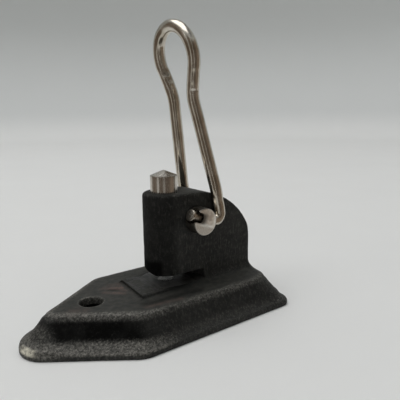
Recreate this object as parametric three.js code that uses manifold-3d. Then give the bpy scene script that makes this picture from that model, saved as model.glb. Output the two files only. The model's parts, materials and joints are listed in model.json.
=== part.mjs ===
// A small bench press with a hand lever: a one-piece cast-iron frame, a plunger that slides down through the
// frame's post onto an anvil pin in a narrow throat, and a bent-wire handle on a cross shaft. Teeth in the
// middle of the shaft mesh with a rack on the back of the plunger, and a coil spring lifts both again.
//
// Lengths are in millimetres and +Z is up. The blunt tip of the base points to -X. Everything is drawn from
// the plunger's axis, and the last group moves it so that the origin is the centre of the base's underside.
import * as THREE from 'three';
import { mergeVertices } from 'three/addons/utils/BufferGeometryUtils.js';
import Module from 'manifold-3d';

const wasm = await Module();
wasm.setup();

// ---------------------------------------------------------------- driving dimensions

// Base, from the plunger's axis
const BASE_LENGTH = 92.0;
const BASE_HALF_WIDTH = 25.4;
const BASE_REAR_X = 39.8;
const BASE_SHOULDER_X = -24.0; // where the straight sides turn in towards the tip
const TIP_ANGLE = THREE.MathUtils.degToRad(36.1); // between each tapering side and the long axis
const RIM_HEIGHT = 2.2;
const COVE_HOLLOW = 1.7; // 1 would make the base's sloping side straight

// Raised platform on the base
const PLATFORM_Z = 11.1;
const PLATFORM_HALF_WIDTH = 18.4;
const PLATFORM_REAR_X = 35.6;
const PLATFORM_SHOULDER_X = -19.0;
const PLATFORM_FRONT_X = -42.6;
const PLATE_THICKNESS = 2.6; // over the hollow underside
const WALL_THICKNESS = 3.4; // around the hollow underside
const HOLLOW_DRAFT = 1.6; // how much wider each side of the hollow is at its mouth

// Post
const POST_HALF_WIDTH = 7.4; // also the radius of the rounded nose around the plunger
const POST_REAR_X = 34.1;
const POST_TOP_Z = 44.2;
const POST_TOP_EDGE = 1.2; // rounding of the top edge
const POST_REAR_CORNER = 1.6;
const POST_BACK_Z = 22; // where the upright back starts to lean forward into the top
const POST_FILLET = 3.6; // where the post flows into the platform

// Throat, and the flat landing in front of it
const THROAT_FLOOR_Z = 12.1;
const THROAT_HEIGHT = 3.57;
const THROAT_END_X = 11.4;
const LANDING_FRONT_X = -14.4;
const LANDING_HALF_WIDTH = 7.9;

// Bench screw hole near the tip
const SCREW_HOLE_X = -29.2;
const SCREW_HOLE_RADIUS = 3.8;

// Plunger
const PLUNGER_RADIUS = 4.7625;
const PLUNGER_RIM_Z = 50.0;
const PLUNGER_APEX_Z = 51.9;
const PLUNGER_SHOULDER_Z = 29.6;
const PLUNGER_TOP_CHAMFER = 0.25;
const RUNNING_GAP = 0.1; // radial, between a moving piece and its bore
const PRESS_GAP = 0.06; // radial, between a pressed pin and its hole

// Dies: a pin in the plunger's lower end, and an anvil pin in the throat's floor
const DIE_RADIUS = 3.0;
const UPPER_DIE_TIP_Z = 17.2;
const UPPER_DIE_GRIP = 8.0; // the length pressed into the plunger
const ANVIL_TOP_Z = THROAT_FLOOR_Z + 0.05;
const ANVIL_LENGTH = 6.5;

// Rack and pinion
const PINION_TEETH = 16;
const GEAR_MODULE = 25.4 / 48;
const PINION_HALF_WIDTH = 3.3;
const PRESSURE_ANGLE = THREE.MathUtils.degToRad(20);
const BACKLASH = 0.12;
const DEDENDUM = 1.25 * GEAR_MODULE;
const RACK_SPACES = 9;
const RACK_SPACES_BELOW = 3; // tooth spaces below the one that faces the shaft at rest

// Cross shaft
const SHAFT_Z = 34.2;
const SHAFT_RADIUS = 4.7625;
const SHAFT_HALF_LENGTH = 12.9;
const CHAMFER = 0.4; // on the ends of the shaft and the plunger's shoulder

// Wire handle
const WIRE_RADIUS = 2.12;
const WIRE_HOLE_GAP = 0.15;
const LEG_Y = 10.1; // each leg's distance from the middle, beside the post
const HOOK_TILT = THREE.MathUtils.degToRad(20); // the hooked ends rise towards the front
const HOOK_RISE = 0.9; // the hook passes this far above the shaft's axis
const HOOK_FRONT = 5.3; // forward of the shaft's axis, to the hook's cut end
const HOOK_BACK = 4.8; // behind the shaft's axis, to the start of the hook's bend
const HOOK_BEND_RADIUS = 2.7;
const HANDLE_LEAN = THREE.MathUtils.degToRad(11.4); // towards the tip, from vertical
const LEG_PARALLEL = 8.0; // how far the legs run parallel before they draw together
const NECK_HEIGHT = 40.0;
const NECK_HALF_WIDTH = 5.9;
const BULB_HEIGHT = 54.2;
const BULB_RADIUS = 10.0;

// Return spring
const SPRING_SEAT_Z = 20.0;
const SPRING_WIRE_RADIUS = 0.35;
const SPRING_RADIUS = 4.1;
const SPRING_TURNS = 5.5;
const SPRING_END_GAP = 0.12;

// Stop screw, in the far side of the post
const STOP_SCREW_Z = 37.4;
const STOP_SCREW_RADIUS = 1.75;
const STOP_POINT_RADIUS = 1.0;
const STOP_POINT_Y = 3.7; // how near the point comes to the plunger's axis
const KEYWAY_GAP = 0.15;
const STROKE = 4.9;
const STROKE_ALLOWANCE = 0.3;

const PITCH_RADIUS = (PINION_TEETH * GEAR_MODULE) / 2;
const SHAFT_X = 2 * PITCH_RADIUS;
const TOOTH_PITCH = Math.PI * GEAR_MODULE;
const THROAT_CEILING_Z = THROAT_FLOOR_Z + THROAT_HEIGHT;
const BASE_FRONT_X = BASE_REAR_X - BASE_LENGTH;
const HOLLOW_CEILING_Z = PLATFORM_Z - PLATE_THICKNESS;
const ROUND_SIDES = 48;
const OVERSHOOT = 2; // how far a cutting solid runs past the face it opens

// ---------------------------------------------------------------- solids and cuts

function solidOf(geometry) {
  const bare = geometry.index ? geometry.toNonIndexed() : geometry.clone();
  bare.deleteAttribute('normal');
  bare.deleteAttribute('uv');
  const merged = mergeVertices(bare, 1e-4);
  const mesh = new wasm.Mesh({
    numProp: 3,
    vertProperties: merged.attributes.position.array,
    triVerts: new Uint32Array(merged.index.array),
  });
  return new wasm.Manifold(mesh);
}

function geometryOf(solid) {
  const mesh = solid.getMesh();
  const geometry = new THREE.BufferGeometry();
  geometry.setAttribute('position', new THREE.BufferAttribute(new Float32Array(mesh.vertProperties), 3));
  geometry.setIndex(new THREE.BufferAttribute(new Uint32Array(mesh.triVerts), 1));
  geometry.computeVertexNormals();
  return geometry;
}

// A closed skin through rings of points, each { z, outline }, from the lowest to the highest.
function loft(rings) {
  const count = rings[0].outline.length;
  const positions = rings.flatMap(({ z, outline }) => outline.flatMap((point) => [point.x, point.y, z]));
  const faces = [];
  for (let ring = 1; ring < rings.length; ring += 1) {
    for (let i = 0; i < count; i += 1) {
      const a = (ring - 1) * count + i;
      const b = (ring - 1) * count + ((i + 1) % count);
      faces.push(a, b, b + count, a, b + count, a + count);
    }
  }
  const topStart = (rings.length - 1) * count;
  for (const [a, b, c] of THREE.ShapeUtils.triangulateShape(rings[0].outline, [])) {
    faces.push(a, c, b);
  }
  for (const [a, b, c] of THREE.ShapeUtils.triangulateShape(rings.at(-1).outline, [])) {
    faces.push(topStart + a, topStart + b, topStart + c);
  }
  const geometry = new THREE.BufferGeometry();
  geometry.setAttribute('position', new THREE.Float32BufferAttribute(positions, 3));
  geometry.setIndex(faces);
  return geometry;
}

function box(minX, maxX, minY, maxY, minZ, maxZ) {
  const geometry = new THREE.BoxGeometry(maxX - minX, maxY - minY, maxZ - minZ);
  return geometry.translate((minX + maxX) / 2, (minY + maxY) / 2, (minZ + maxZ) / 2);
}

function uprightCylinder(radius, minZ, maxZ, x = 0) {
  const geometry = new THREE.CylinderGeometry(radius, radius, maxZ - minZ, ROUND_SIDES);
  return geometry.rotateX(Math.PI / 2).translate(x, 0, (minZ + maxZ) / 2);
}

function crossCylinder(radius, minY, maxY, x, z, sides = ROUND_SIDES) {
  const geometry = new THREE.CylinderGeometry(radius, radius, maxY - minY, sides);
  return geometry.translate(x, (minY + maxY) / 2, z);
}

// Points of a polygon with rounded corners, each { x, y, radius }, taken counterclockwise.
function roundedPolygon(corners, steps) {
  const points = [];
  corners.forEach((corner, i) => {
    const here = new THREE.Vector2(corner.x, corner.y);
    const before = corners.at(i - 1);
    const after = corners[(i + 1) % corners.length];
    const back = new THREE.Vector2(before.x, before.y).sub(here).normalize();
    const ahead = new THREE.Vector2(after.x, after.y).sub(here).normalize();
    const halfAngle = Math.acos(back.dot(ahead)) / 2;
    const middle = back.clone().add(ahead).normalize();
    const centre = here.clone().addScaledVector(middle, corner.radius / Math.sin(halfAngle));
    const turn = Math.PI - 2 * halfAngle;
    const start = middle.angle() + Math.PI - turn / 2;
    for (let step = 0; step <= steps; step += 1) {
      const angle = start + (turn * step) / steps;
      points.push(new THREE.Vector2(
        centre.x + corner.radius * Math.cos(angle),
        centre.y + corner.radius * Math.sin(angle),
      ));
    }
  });
  return points;
}

// ---------------------------------------------------------------- frame casting

// The plan of the base at one level: square at the rear, tapering to a rounded tip at frontX.
function baseOutline({ halfWidth, rearX, shoulderX, frontX, rearRadius, shoulderRadius }) {
  const sharpTipX = shoulderX - halfWidth / Math.tan(TIP_ANGLE);
  const tipRadius = (frontX - sharpTipX) / (1 / Math.sin(TIP_ANGLE) - 1);
  const corners = [
    { x: rearX, y: halfWidth, radius: rearRadius },
    { x: shoulderX, y: halfWidth, radius: shoulderRadius },
    { x: sharpTipX, y: 0, radius: tipRadius },
    { x: shoulderX, y: -halfWidth, radius: shoulderRadius },
    { x: rearX, y: -halfWidth, radius: rearRadius },
  ];
  return roundedPolygon(corners, 8);
}

const RIM = {
  halfWidth: BASE_HALF_WIDTH,
  rearX: BASE_REAR_X,
  shoulderX: BASE_SHOULDER_X,
  frontX: BASE_FRONT_X,
  rearRadius: 4.5,
  shoulderRadius: 8,
};

const PLATFORM = {
  halfWidth: PLATFORM_HALF_WIDTH,
  rearX: PLATFORM_REAR_X,
  shoulderX: PLATFORM_SHOULDER_X,
  frontX: PLATFORM_FRONT_X,
  rearRadius: 8,
  shoulderRadius: 6,
};

function between(from, to, fraction) {
  return Object.fromEntries(
    Object.keys(from).map((key) => [key, THREE.MathUtils.lerp(from[key], to[key], fraction)]),
  );
}

// The base's side, from the rim up: a thin flange, a hollow cove and a rounded edge onto the platform.
// Each point of the section is [fraction of the way in from the rim to the platform, height].
function baseRings() {
  const flangeEnd = 0.12;
  const coveEnd = 0.86;
  const edgeEnd = 1.06;
  const coveTop = PLATFORM_Z - 1.1;
  const rimBottom = 0.4;
  const rimTop = RIM_HEIGHT - 0.7;
  const section = [[0.02, 0], [0, rimBottom], [0, rimTop], [0.04, RIM_HEIGHT - 0.15]];
  const coveSteps = 7;
  for (let step = 0; step <= coveSteps; step += 1) {
    const along = step / coveSteps;
    section.push([
      THREE.MathUtils.lerp(flangeEnd, coveEnd, along),
      THREE.MathUtils.lerp(RIM_HEIGHT, coveTop, along ** COVE_HOLLOW),
    ]);
  }
  const edgeSteps = 3;
  for (let step = 1; step <= edgeSteps; step += 1) {
    const turn = ((Math.PI / 2) * step) / edgeSteps;
    section.push([
      THREE.MathUtils.lerp(coveEnd, edgeEnd, 1 - Math.cos(turn)),
      THREE.MathUtils.lerp(coveTop, PLATFORM_Z, Math.sin(turn)),
    ]);
  }
  return section.map(([inward, z]) => ({ z, outline: baseOutline(between(RIM, PLATFORM, inward)) }));
}

// The hollow under the base, drafted so that it is a little wider at its mouth.
function hollowRings() {
  const cornerRadius = 2;
  const noseWall = WALL_THICKNESS / Math.sin(TIP_ANGLE) - 0.4;
  const ceiling = {
    halfWidth: PLATFORM_HALF_WIDTH - WALL_THICKNESS,
    rearX: PLATFORM_REAR_X - WALL_THICKNESS,
    shoulderX: PLATFORM_SHOULDER_X + 1,
    frontX: PLATFORM_FRONT_X + noseWall,
    rearRadius: cornerRadius,
    shoulderRadius: cornerRadius + 1,
  };
  const mouth = {
    ...ceiling,
    halfWidth: ceiling.halfWidth + HOLLOW_DRAFT,
    rearX: ceiling.rearX + HOLLOW_DRAFT / 2,
    frontX: ceiling.frontX - HOLLOW_DRAFT,
  };
  return [
    { z: -OVERSHOOT, outline: baseOutline(mouth) },
    { z: 0, outline: baseOutline(mouth) },
    { z: HOLLOW_CEILING_Z, outline: baseOutline(ceiling) },
  ];
}

// The post's plan: a half-round nose about the plunger's axis, and a square back with small corners.
function postOutline(offset) {
  const half = POST_HALF_WIDTH + offset;
  const corner = POST_REAR_CORNER + offset;
  const unused = 0.01; // the front corners lie ahead of the nose, and are dropped
  const points = roundedPolygon([
    { x: BASE_FRONT_X, y: half, radius: unused },
    { x: BASE_FRONT_X, y: -half, radius: unused },
    { x: POST_REAR_X + offset, y: -half, radius: corner },
    { x: POST_REAR_X + offset, y: half, radius: corner },
  ], 5).filter((point) => point.x > 0);
  const noseSteps = 24;
  for (let step = 0; step <= noseSteps; step += 1) {
    const angle = Math.PI / 2 + (Math.PI * step) / noseSteps;
    points.push(new THREE.Vector2(half * Math.cos(angle), half * Math.sin(angle)));
  }
  return points;
}

function postSolid() {
  const edgeStep = 0.3 * POST_TOP_EDGE;
  const upright = solidOf(loft([
    { z: HOLLOW_CEILING_Z + 1, outline: postOutline(0) },
    { z: POST_TOP_Z - POST_TOP_EDGE, outline: postOutline(0) },
    { z: POST_TOP_Z - edgeStep, outline: postOutline(-edgeStep) },
    { z: POST_TOP_Z, outline: postOutline(-POST_TOP_EDGE) },
  ]));
  const frontX = -POST_HALF_WIDTH - OVERSHOOT;
  const side = new THREE.Shape();
  side.moveTo(frontX, HOLLOW_CEILING_Z);
  side.lineTo(POST_REAR_X + OVERSHOOT, HOLLOW_CEILING_Z);
  side.lineTo(POST_REAR_X, POST_BACK_Z);
  side.bezierCurveTo(POST_REAR_X, 33, 20, POST_TOP_Z, 6, POST_TOP_Z);
  side.lineTo(frontX, POST_TOP_Z + 0.01);
  const outline = new THREE.ExtrudeGeometry(side, {
    depth: 2 * BASE_HALF_WIDTH,
    bevelEnabled: false,
    curveSegments: 20,
  });
  outline.rotateX(Math.PI / 2).translate(0, BASE_HALF_WIDTH, 0);
  return upright.intersect(solidOf(outline));
}

function filletSolid() {
  const steps = 6;
  const lift = 0.05; // keeps the fillet's foot just above the platform
  const rings = [{ z: HOLLOW_CEILING_Z + 1, outline: postOutline(POST_FILLET) }];
  for (let step = 0; step <= steps; step += 1) {
    const turn = ((Math.PI / 2) * step) / steps;
    const offset = POST_FILLET * (1 - Math.sin(turn));
    const z = PLATFORM_Z + POST_FILLET * (1 - Math.cos(turn));
    rings.push({ z: z + lift, outline: postOutline(offset) });
  }
  const top = baseOutline(between(RIM, PLATFORM, 1));
  const above = loft([{ z: HOLLOW_CEILING_Z, outline: top }, { z: POST_TOP_Z, outline: top }]);
  return solidOf(loft(rings)).intersect(solidOf(above));
}

function frameCasting() {
  const landing = box(
    LANDING_FRONT_X, THROAT_END_X, -LANDING_HALF_WIDTH, LANDING_HALF_WIDTH,
    PLATFORM_Z - 1, THROAT_FLOOR_Z,
  );
  const across = PLATFORM_HALF_WIDTH;
  const throat = box(BASE_FRONT_X, THROAT_END_X, -across, across, THROAT_FLOOR_Z, THROAT_CEILING_Z);
  const plungerBore = uprightCylinder(PLUNGER_RADIUS + RUNNING_GAP, SPRING_SEAT_Z, POST_TOP_Z + OVERSHOOT);
  const dieBore = uprightCylinder(DIE_RADIUS + RUNNING_GAP, THROAT_FLOOR_Z + 1, SPRING_SEAT_Z + 1);
  const anvilBore = uprightCylinder(DIE_RADIUS + PRESS_GAP, 0, THROAT_FLOOR_Z + 1);
  const shaftBore = crossCylinder(SHAFT_RADIUS + RUNNING_GAP, -across, across, SHAFT_X, SHAFT_Z);
  const stopHole = crossCylinder(STOP_SCREW_RADIUS + PRESS_GAP, 0, across, 0, STOP_SCREW_Z, 24);
  const screwHole = uprightCylinder(SCREW_HOLE_RADIUS, 0, PLATFORM_Z + OVERSHOOT, SCREW_HOLE_X);
  return solidOf(loft(baseRings()))
    .subtract(solidOf(loft(hollowRings())))
    .add(solidOf(landing))
    .add(filletSolid())
    .add(postSolid())
    .subtract(solidOf(throat))
    .subtract(solidOf(plungerBore))
    .subtract(solidOf(dieBore))
    .subtract(solidOf(anvilBore))
    .subtract(solidOf(shaftBore))
    .subtract(solidOf(stopHole))
    .subtract(solidOf(screwHole));
}

// ---------------------------------------------------------------- plunger and dies

function plungerSolid() {
  const profile = [
    [0, PLUNGER_SHOULDER_Z],
    [PLUNGER_RADIUS - CHAMFER, PLUNGER_SHOULDER_Z],
    [PLUNGER_RADIUS, PLUNGER_SHOULDER_Z + CHAMFER],
    [PLUNGER_RADIUS, PLUNGER_RIM_Z - PLUNGER_TOP_CHAMFER],
    [PLUNGER_RADIUS - PLUNGER_TOP_CHAMFER, PLUNGER_RIM_Z],
    [0, PLUNGER_APEX_Z],
  ].map(([radius, z]) => new THREE.Vector2(radius, z));
  const turned = new THREE.LatheGeometry(profile, ROUND_SIDES).rotateX(Math.PI / 2);
  const dieHole = uprightCylinder(
    DIE_RADIUS + PRESS_GAP, PLUNGER_SHOULDER_Z - 1, PLUNGER_SHOULDER_Z + UPPER_DIE_GRIP + 0.3,
  );
  const keyHalfWidth = STOP_POINT_RADIUS + KEYWAY_GAP;
  const keyway = box(
    -keyHalfWidth, keyHalfWidth, STOP_POINT_Y - KEYWAY_GAP, PLUNGER_RADIUS + 1,
    STOP_SCREW_Z - keyHalfWidth, STOP_SCREW_Z + STOP_POINT_RADIUS + STROKE + STROKE_ALLOWANCE,
  );
  return solidOf(turned).subtract(solidOf(dieHole)).subtract(rackSpaces()).subtract(solidOf(keyway));
}

// The tooth spaces of the rack, cut across the back of the plunger.
function rackSpaces() {
  const pitchLineX = SHAFT_X - PITCH_RADIUS;
  const rootX = pitchLineX - DEDENDUM;
  const mouthX = PLUNGER_RADIUS + 1;
  const halfGap = TOOTH_PITCH / 4 + BACKLASH / 4;
  const halfRoot = halfGap - DEDENDUM * Math.tan(PRESSURE_ANGLE);
  const halfMouth = halfGap + (mouthX - pitchLineX) * Math.tan(PRESSURE_ANGLE);
  const space = new THREE.Shape([
    new THREE.Vector2(rootX, -halfRoot),
    new THREE.Vector2(mouthX, -halfMouth),
    new THREE.Vector2(mouthX, halfMouth),
    new THREE.Vector2(rootX, halfRoot),
  ]);
  const cutter = new THREE.ExtrudeGeometry(space, { depth: 2 * PLUNGER_RADIUS, bevelEnabled: false });
  cutter.rotateX(Math.PI / 2).translate(0, PLUNGER_RADIUS, 0);
  const cuts = [];
  for (let i = 0; i < RACK_SPACES; i += 1) {
    const z = SHAFT_Z + (i - RACK_SPACES_BELOW) * TOOTH_PITCH;
    cuts.push(solidOf(cutter.clone().translate(0, 0, z)));
  }
  return cuts.reduce((all, cut) => all.add(cut));
}

function chamferedPin(radius, minZ, maxZ, chamfer) {
  const profile = [
    [0, minZ],
    [radius - chamfer, minZ],
    [radius, minZ + chamfer],
    [radius, maxZ - chamfer],
    [radius - chamfer, maxZ],
    [0, maxZ],
  ].map(([r, z]) => new THREE.Vector2(r, z));
  return new THREE.LatheGeometry(profile, ROUND_SIDES).rotateX(Math.PI / 2);
}

// ---------------------------------------------------------------- cross shaft with its pinion

function pinionOutline() {
  const baseRadius = PITCH_RADIUS * Math.cos(PRESSURE_ANGLE);
  const tipRadius = PITCH_RADIUS + GEAR_MODULE;
  const rootRadius = PITCH_RADIUS - DEDENDUM;
  const involute = (angle) => Math.tan(angle) - angle;
  const halfToothAt = (radius) => {
    const angle = Math.acos(Math.min(1, baseRadius / radius));
    const atPitch = TOOTH_PITCH / 4 - BACKLASH / 4;
    return atPitch / PITCH_RADIUS + involute(PRESSURE_ANGLE) - involute(angle);
  };
  const flank = [rootRadius, baseRadius, (baseRadius + tipRadius) / 2, tipRadius];
  const outline = [];
  for (let tooth = 0; tooth < PINION_TEETH; tooth += 1) {
    const middle = Math.PI + (2 * Math.PI * tooth) / PINION_TEETH;
    const left = flank.map((radius) => [radius, middle - halfToothAt(radius)]);
    const right = flank.toReversed().map((radius) => [radius, middle + halfToothAt(radius)]);
    for (const [radius, angle] of [...left, ...right]) {
      outline.push(new THREE.Vector2(radius * Math.cos(angle), radius * Math.sin(angle)));
    }
  }
  return outline;
}

function shaftSolid() {
  const toothHalfLength = PINION_HALF_WIDTH + 0.1; // the teeth run a little way into each journal
  const teeth = new THREE.ExtrudeGeometry(new THREE.Shape(pinionOutline()), {
    depth: 2 * toothHalfLength,
    bevelEnabled: false,
  });
  teeth.rotateX(Math.PI / 2).translate(0, toothHalfLength, 0);
  const journal = new THREE.LatheGeometry([
    new THREE.Vector2(0, PINION_HALF_WIDTH),
    new THREE.Vector2(SHAFT_RADIUS, PINION_HALF_WIDTH),
    new THREE.Vector2(SHAFT_RADIUS, SHAFT_HALF_LENGTH - CHAMFER),
    new THREE.Vector2(SHAFT_RADIUS - CHAMFER, SHAFT_HALF_LENGTH),
    new THREE.Vector2(0, SHAFT_HALF_LENGTH),
  ], ROUND_SIDES);
  const wireHole = new THREE.CylinderGeometry(
    WIRE_RADIUS + WIRE_HOLE_GAP, WIRE_RADIUS + WIRE_HOLE_GAP, 4 * SHAFT_RADIUS, 24,
  );
  wireHole.rotateZ(Math.PI / 2).translate(0, 0, HOOK_RISE).rotateY(HOOK_TILT);
  let shaft = solidOf(teeth);
  for (const side of [-1, 1]) {
    const end = side > 0 ? journal : journal.clone().rotateX(Math.PI);
    shaft = shaft.add(solidOf(end)).subtract(solidOf(wireHole.clone().translate(0, side * LEG_Y, 0)));
  }
  return shaft;
}

// ---------------------------------------------------------------- wire handle

// The wire's centre line, from one hooked end to the other, about the shaft's axis.
function handleRoute() {
  const forward = new THREE.Vector2(-Math.cos(HOOK_TILT), Math.sin(HOOK_TILT));
  const rise = new THREE.Vector2(Math.sin(HOOK_TILT), Math.cos(HOOK_TILT));
  const up = new THREE.Vector2(-Math.sin(HANDLE_LEAN), Math.cos(HANDLE_LEAN));
  const bendCentre = forward.clone().multiplyScalar(-HOOK_BACK);
  bendCentre.addScaledVector(rise, HOOK_RISE + HOOK_BEND_RADIUS);
  const half = [];
  for (const along of [HOOK_FRONT, HOOK_FRONT / 2, 0, -HOOK_BACK / 2]) {
    const point = rise.clone().multiplyScalar(HOOK_RISE).addScaledVector(forward, along);
    half.push(new THREE.Vector3(point.x, -LEG_Y, point.y));
  }
  const bendFrom = -Math.PI / 2 - HOOK_TILT;
  const bendTo = HANDLE_LEAN;
  const bendSteps = 7;
  for (let step = 0; step < bendSteps; step += 1) {
    const angle = THREE.MathUtils.lerp(bendFrom, bendTo, step / bendSteps);
    half.push(new THREE.Vector3(
      bendCentre.x + HOOK_BEND_RADIUS * Math.cos(angle),
      -LEG_Y,
      bendCentre.y + HOOK_BEND_RADIUS * Math.sin(angle),
    ));
  }
  const legStartX = bendCentre.x + HOOK_BEND_RADIUS * Math.cos(bendTo);
  const legStartZ = bendCentre.y + HOOK_BEND_RADIUS * Math.sin(bendTo);
  for (const [height, halfWidth] of legOutline()) {
    half.push(new THREE.Vector3(legStartX + up.x * height, -halfWidth, legStartZ + up.y * height));
  }
  const otherHalf = half.slice(0, -1).reverse().map((point) => new THREE.Vector3(point.x, -point.y, point.z));
  return new THREE.CatmullRomCurve3([...half, ...otherHalf], false, 'centripetal');
}

// Heights up the handle's plane and the wire's distance from the middle, up to the top of the bulb.
function legOutline() {
  const outline = [[0.5, LEG_Y], [LEG_PARALLEL / 2, LEG_Y], [LEG_PARALLEL, LEG_Y]];
  const legSteps = 5;
  for (let step = 1; step < legSteps; step += 1) {
    const fraction = step / legSteps;
    outline.push([
      THREE.MathUtils.lerp(LEG_PARALLEL, NECK_HEIGHT - 2, fraction),
      THREE.MathUtils.lerp(LEG_Y, NECK_HALF_WIDTH + 0.15, fraction),
    ]);
  }
  outline.push([NECK_HEIGHT - 1.5, NECK_HALF_WIDTH + 0.05], [NECK_HEIGHT, NECK_HALF_WIDTH]);
  outline.push([NECK_HEIGHT + 2.5, NECK_HALF_WIDTH + 0.4]);
  const bulbSteps = 10;
  const bulbStart = THREE.MathUtils.degToRad(-30);
  for (let step = 0; step <= bulbSteps; step += 1) {
    const angle = THREE.MathUtils.lerp(bulbStart, Math.PI / 2, step / bulbSteps);
    outline.push([BULB_HEIGHT + BULB_RADIUS * Math.sin(angle), BULB_RADIUS * Math.cos(angle)]);
  }
  return outline;
}

function circle(radius, sides) {
  const points = [];
  for (let i = 0; i < sides; i += 1) {
    const angle = (2 * Math.PI * i) / sides;
    points.push(new THREE.Vector2(radius * Math.cos(angle), radius * Math.sin(angle)));
  }
  return new THREE.Shape(points);
}

function handleGeometry() {
  return new THREE.ExtrudeGeometry(circle(WIRE_RADIUS, 12), {
    steps: 150,
    extrudePath: handleRoute(),
    bevelEnabled: false,
  });
}

// ---------------------------------------------------------------- return spring

class Helix extends THREE.Curve {
  getPoint(t) {
    const angle = 2 * Math.PI * SPRING_TURNS * t;
    const inset = SPRING_WIRE_RADIUS + SPRING_END_GAP;
    const z = THREE.MathUtils.lerp(SPRING_SEAT_Z + inset, PLUNGER_SHOULDER_Z - inset, t);
    return new THREE.Vector3(SPRING_RADIUS * Math.cos(angle), SPRING_RADIUS * Math.sin(angle), z);
  }
}

function springGeometry() {
  return new THREE.ExtrudeGeometry(circle(SPRING_WIRE_RADIUS, 6), {
    steps: 22 * SPRING_TURNS,
    extrudePath: new Helix(),
    bevelEnabled: false,
  });
}

// ---------------------------------------------------------------- stop screw

function stopScrewSolid() {
  const headY = POST_HALF_WIDTH - 0.3;
  const pointEnd = PLUNGER_RADIUS + 0.3;
  const slotDepth = 0.7;
  const slotHalfWidth = 0.25;
  const profile = [
    [0, STOP_POINT_Y],
    [STOP_POINT_RADIUS, STOP_POINT_Y],
    [STOP_POINT_RADIUS, pointEnd],
    [STOP_SCREW_RADIUS, pointEnd + 0.5],
    [STOP_SCREW_RADIUS, headY],
    [0, headY],
  ].map(([radius, y]) => new THREE.Vector2(radius, y));
  const screw = new THREE.LatheGeometry(profile, 24).translate(0, 0, STOP_SCREW_Z);
  const slot = box(
    -2 * STOP_SCREW_RADIUS, 2 * STOP_SCREW_RADIUS, headY - slotDepth, headY + 1,
    STOP_SCREW_Z - slotHalfWidth, STOP_SCREW_Z + slotHalfWidth,
  );
  return solidOf(screw).subtract(solidOf(slot));
}

// ---------------------------------------------------------------- assembly

const castIron = { color: 0x1c1c1d, roughness: 0.62, metalness: 0.3 };
const brightSteel = { color: 0xb9b4ab, roughness: 0.28, metalness: 1.0 };
const nickelPlate = { color: 0xb3a99b, roughness: 0.2, metalness: 1.0 };
const springSteel = { color: 0x6f6c68, roughness: 0.4, metalness: 1.0 };
const blackSteel = { color: 0x2b2a29, roughness: 0.5, metalness: 0.8 };

function piece(name, geometry, look) {
  const mesh = new THREE.Mesh(geometry, new THREE.MeshStandardMaterial(look));
  mesh.name = name;
  return mesh;
}

const press = new THREE.Group();
press.position.x = BASE_LENGTH / 2 - BASE_REAR_X;
press.add(piece('frame_casting', geometryOf(frameCasting()), castIron));
press.add(piece('plunger', geometryOf(plungerSolid()), brightSteel));
press.add(piece('upper_die', chamferedPin(
  DIE_RADIUS, UPPER_DIE_TIP_Z, PLUNGER_SHOULDER_Z + UPPER_DIE_GRIP, 0.25,
), brightSteel));
press.add(piece('anvil_pin', chamferedPin(
  DIE_RADIUS, ANVIL_TOP_Z - ANVIL_LENGTH, ANVIL_TOP_Z, 0.2,
), brightSteel));
press.add(piece('return_spring', springGeometry(), springSteel));
press.add(piece('stop_screw', geometryOf(stopScrewSolid()), blackSteel));

const lever = new THREE.Group();
lever.position.set(SHAFT_X, 0, SHAFT_Z);
lever.add(piece('pinion_shaft', geometryOf(shaftSolid()), nickelPlate));
lever.add(piece('wire_handle', handleGeometry(), nickelPlate));
press.add(lever);

const root = new THREE.Group();
root.add(press);

export default root;
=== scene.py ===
# The looks of a small bench press: a cast-iron frame, a plunger with a rack, and a bent-wire handle on a
# cross shaft. Shapes are drawn in millimetres about the plunger's axis, and placed in the frame in metres.
import json
import math

import bpy
import numpy as np
from mathutils import Matrix, Vector, noise


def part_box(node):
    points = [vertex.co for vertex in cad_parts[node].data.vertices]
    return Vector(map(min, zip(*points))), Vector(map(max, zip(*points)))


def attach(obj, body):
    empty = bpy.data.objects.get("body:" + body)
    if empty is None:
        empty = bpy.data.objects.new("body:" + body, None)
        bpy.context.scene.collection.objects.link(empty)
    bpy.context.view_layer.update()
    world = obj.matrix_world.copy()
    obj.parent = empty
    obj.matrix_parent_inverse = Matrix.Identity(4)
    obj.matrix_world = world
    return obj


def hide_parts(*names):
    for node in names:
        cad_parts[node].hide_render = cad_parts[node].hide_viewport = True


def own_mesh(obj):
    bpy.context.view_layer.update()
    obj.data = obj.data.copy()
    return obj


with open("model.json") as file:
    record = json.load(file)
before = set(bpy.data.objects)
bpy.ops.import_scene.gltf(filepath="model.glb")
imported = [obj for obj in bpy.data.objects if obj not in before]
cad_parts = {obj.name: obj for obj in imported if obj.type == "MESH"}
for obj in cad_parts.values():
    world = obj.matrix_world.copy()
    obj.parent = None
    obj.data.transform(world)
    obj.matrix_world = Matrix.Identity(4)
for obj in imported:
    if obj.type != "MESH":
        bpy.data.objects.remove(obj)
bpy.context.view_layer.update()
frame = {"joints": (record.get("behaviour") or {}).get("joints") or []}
MM = 0.001


# ---------------------------------------------------------------- dimensions from the frame

def box_in_mm(node):
    low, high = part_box(node)
    return low / MM, high / MM


casting_low, casting_high = box_in_mm("frame_casting")
plunger_low, plunger_high = box_in_mm("plunger")
anvil_low, anvil_high = box_in_mm("anvil_pin")
die_low, die_high = box_in_mm("upper_die")
shaft_low, shaft_high = box_in_mm("pinion_shaft")
spring_low, spring_high = box_in_mm("return_spring")
screw_low, screw_high = box_in_mm("stop_screw")
swing = next(joint for joint in frame["joints"] if joint["name"] == "lever_swing")
slide = next(joint for joint in frame["joints"] if joint["name"] == "plunger_slide")

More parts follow.
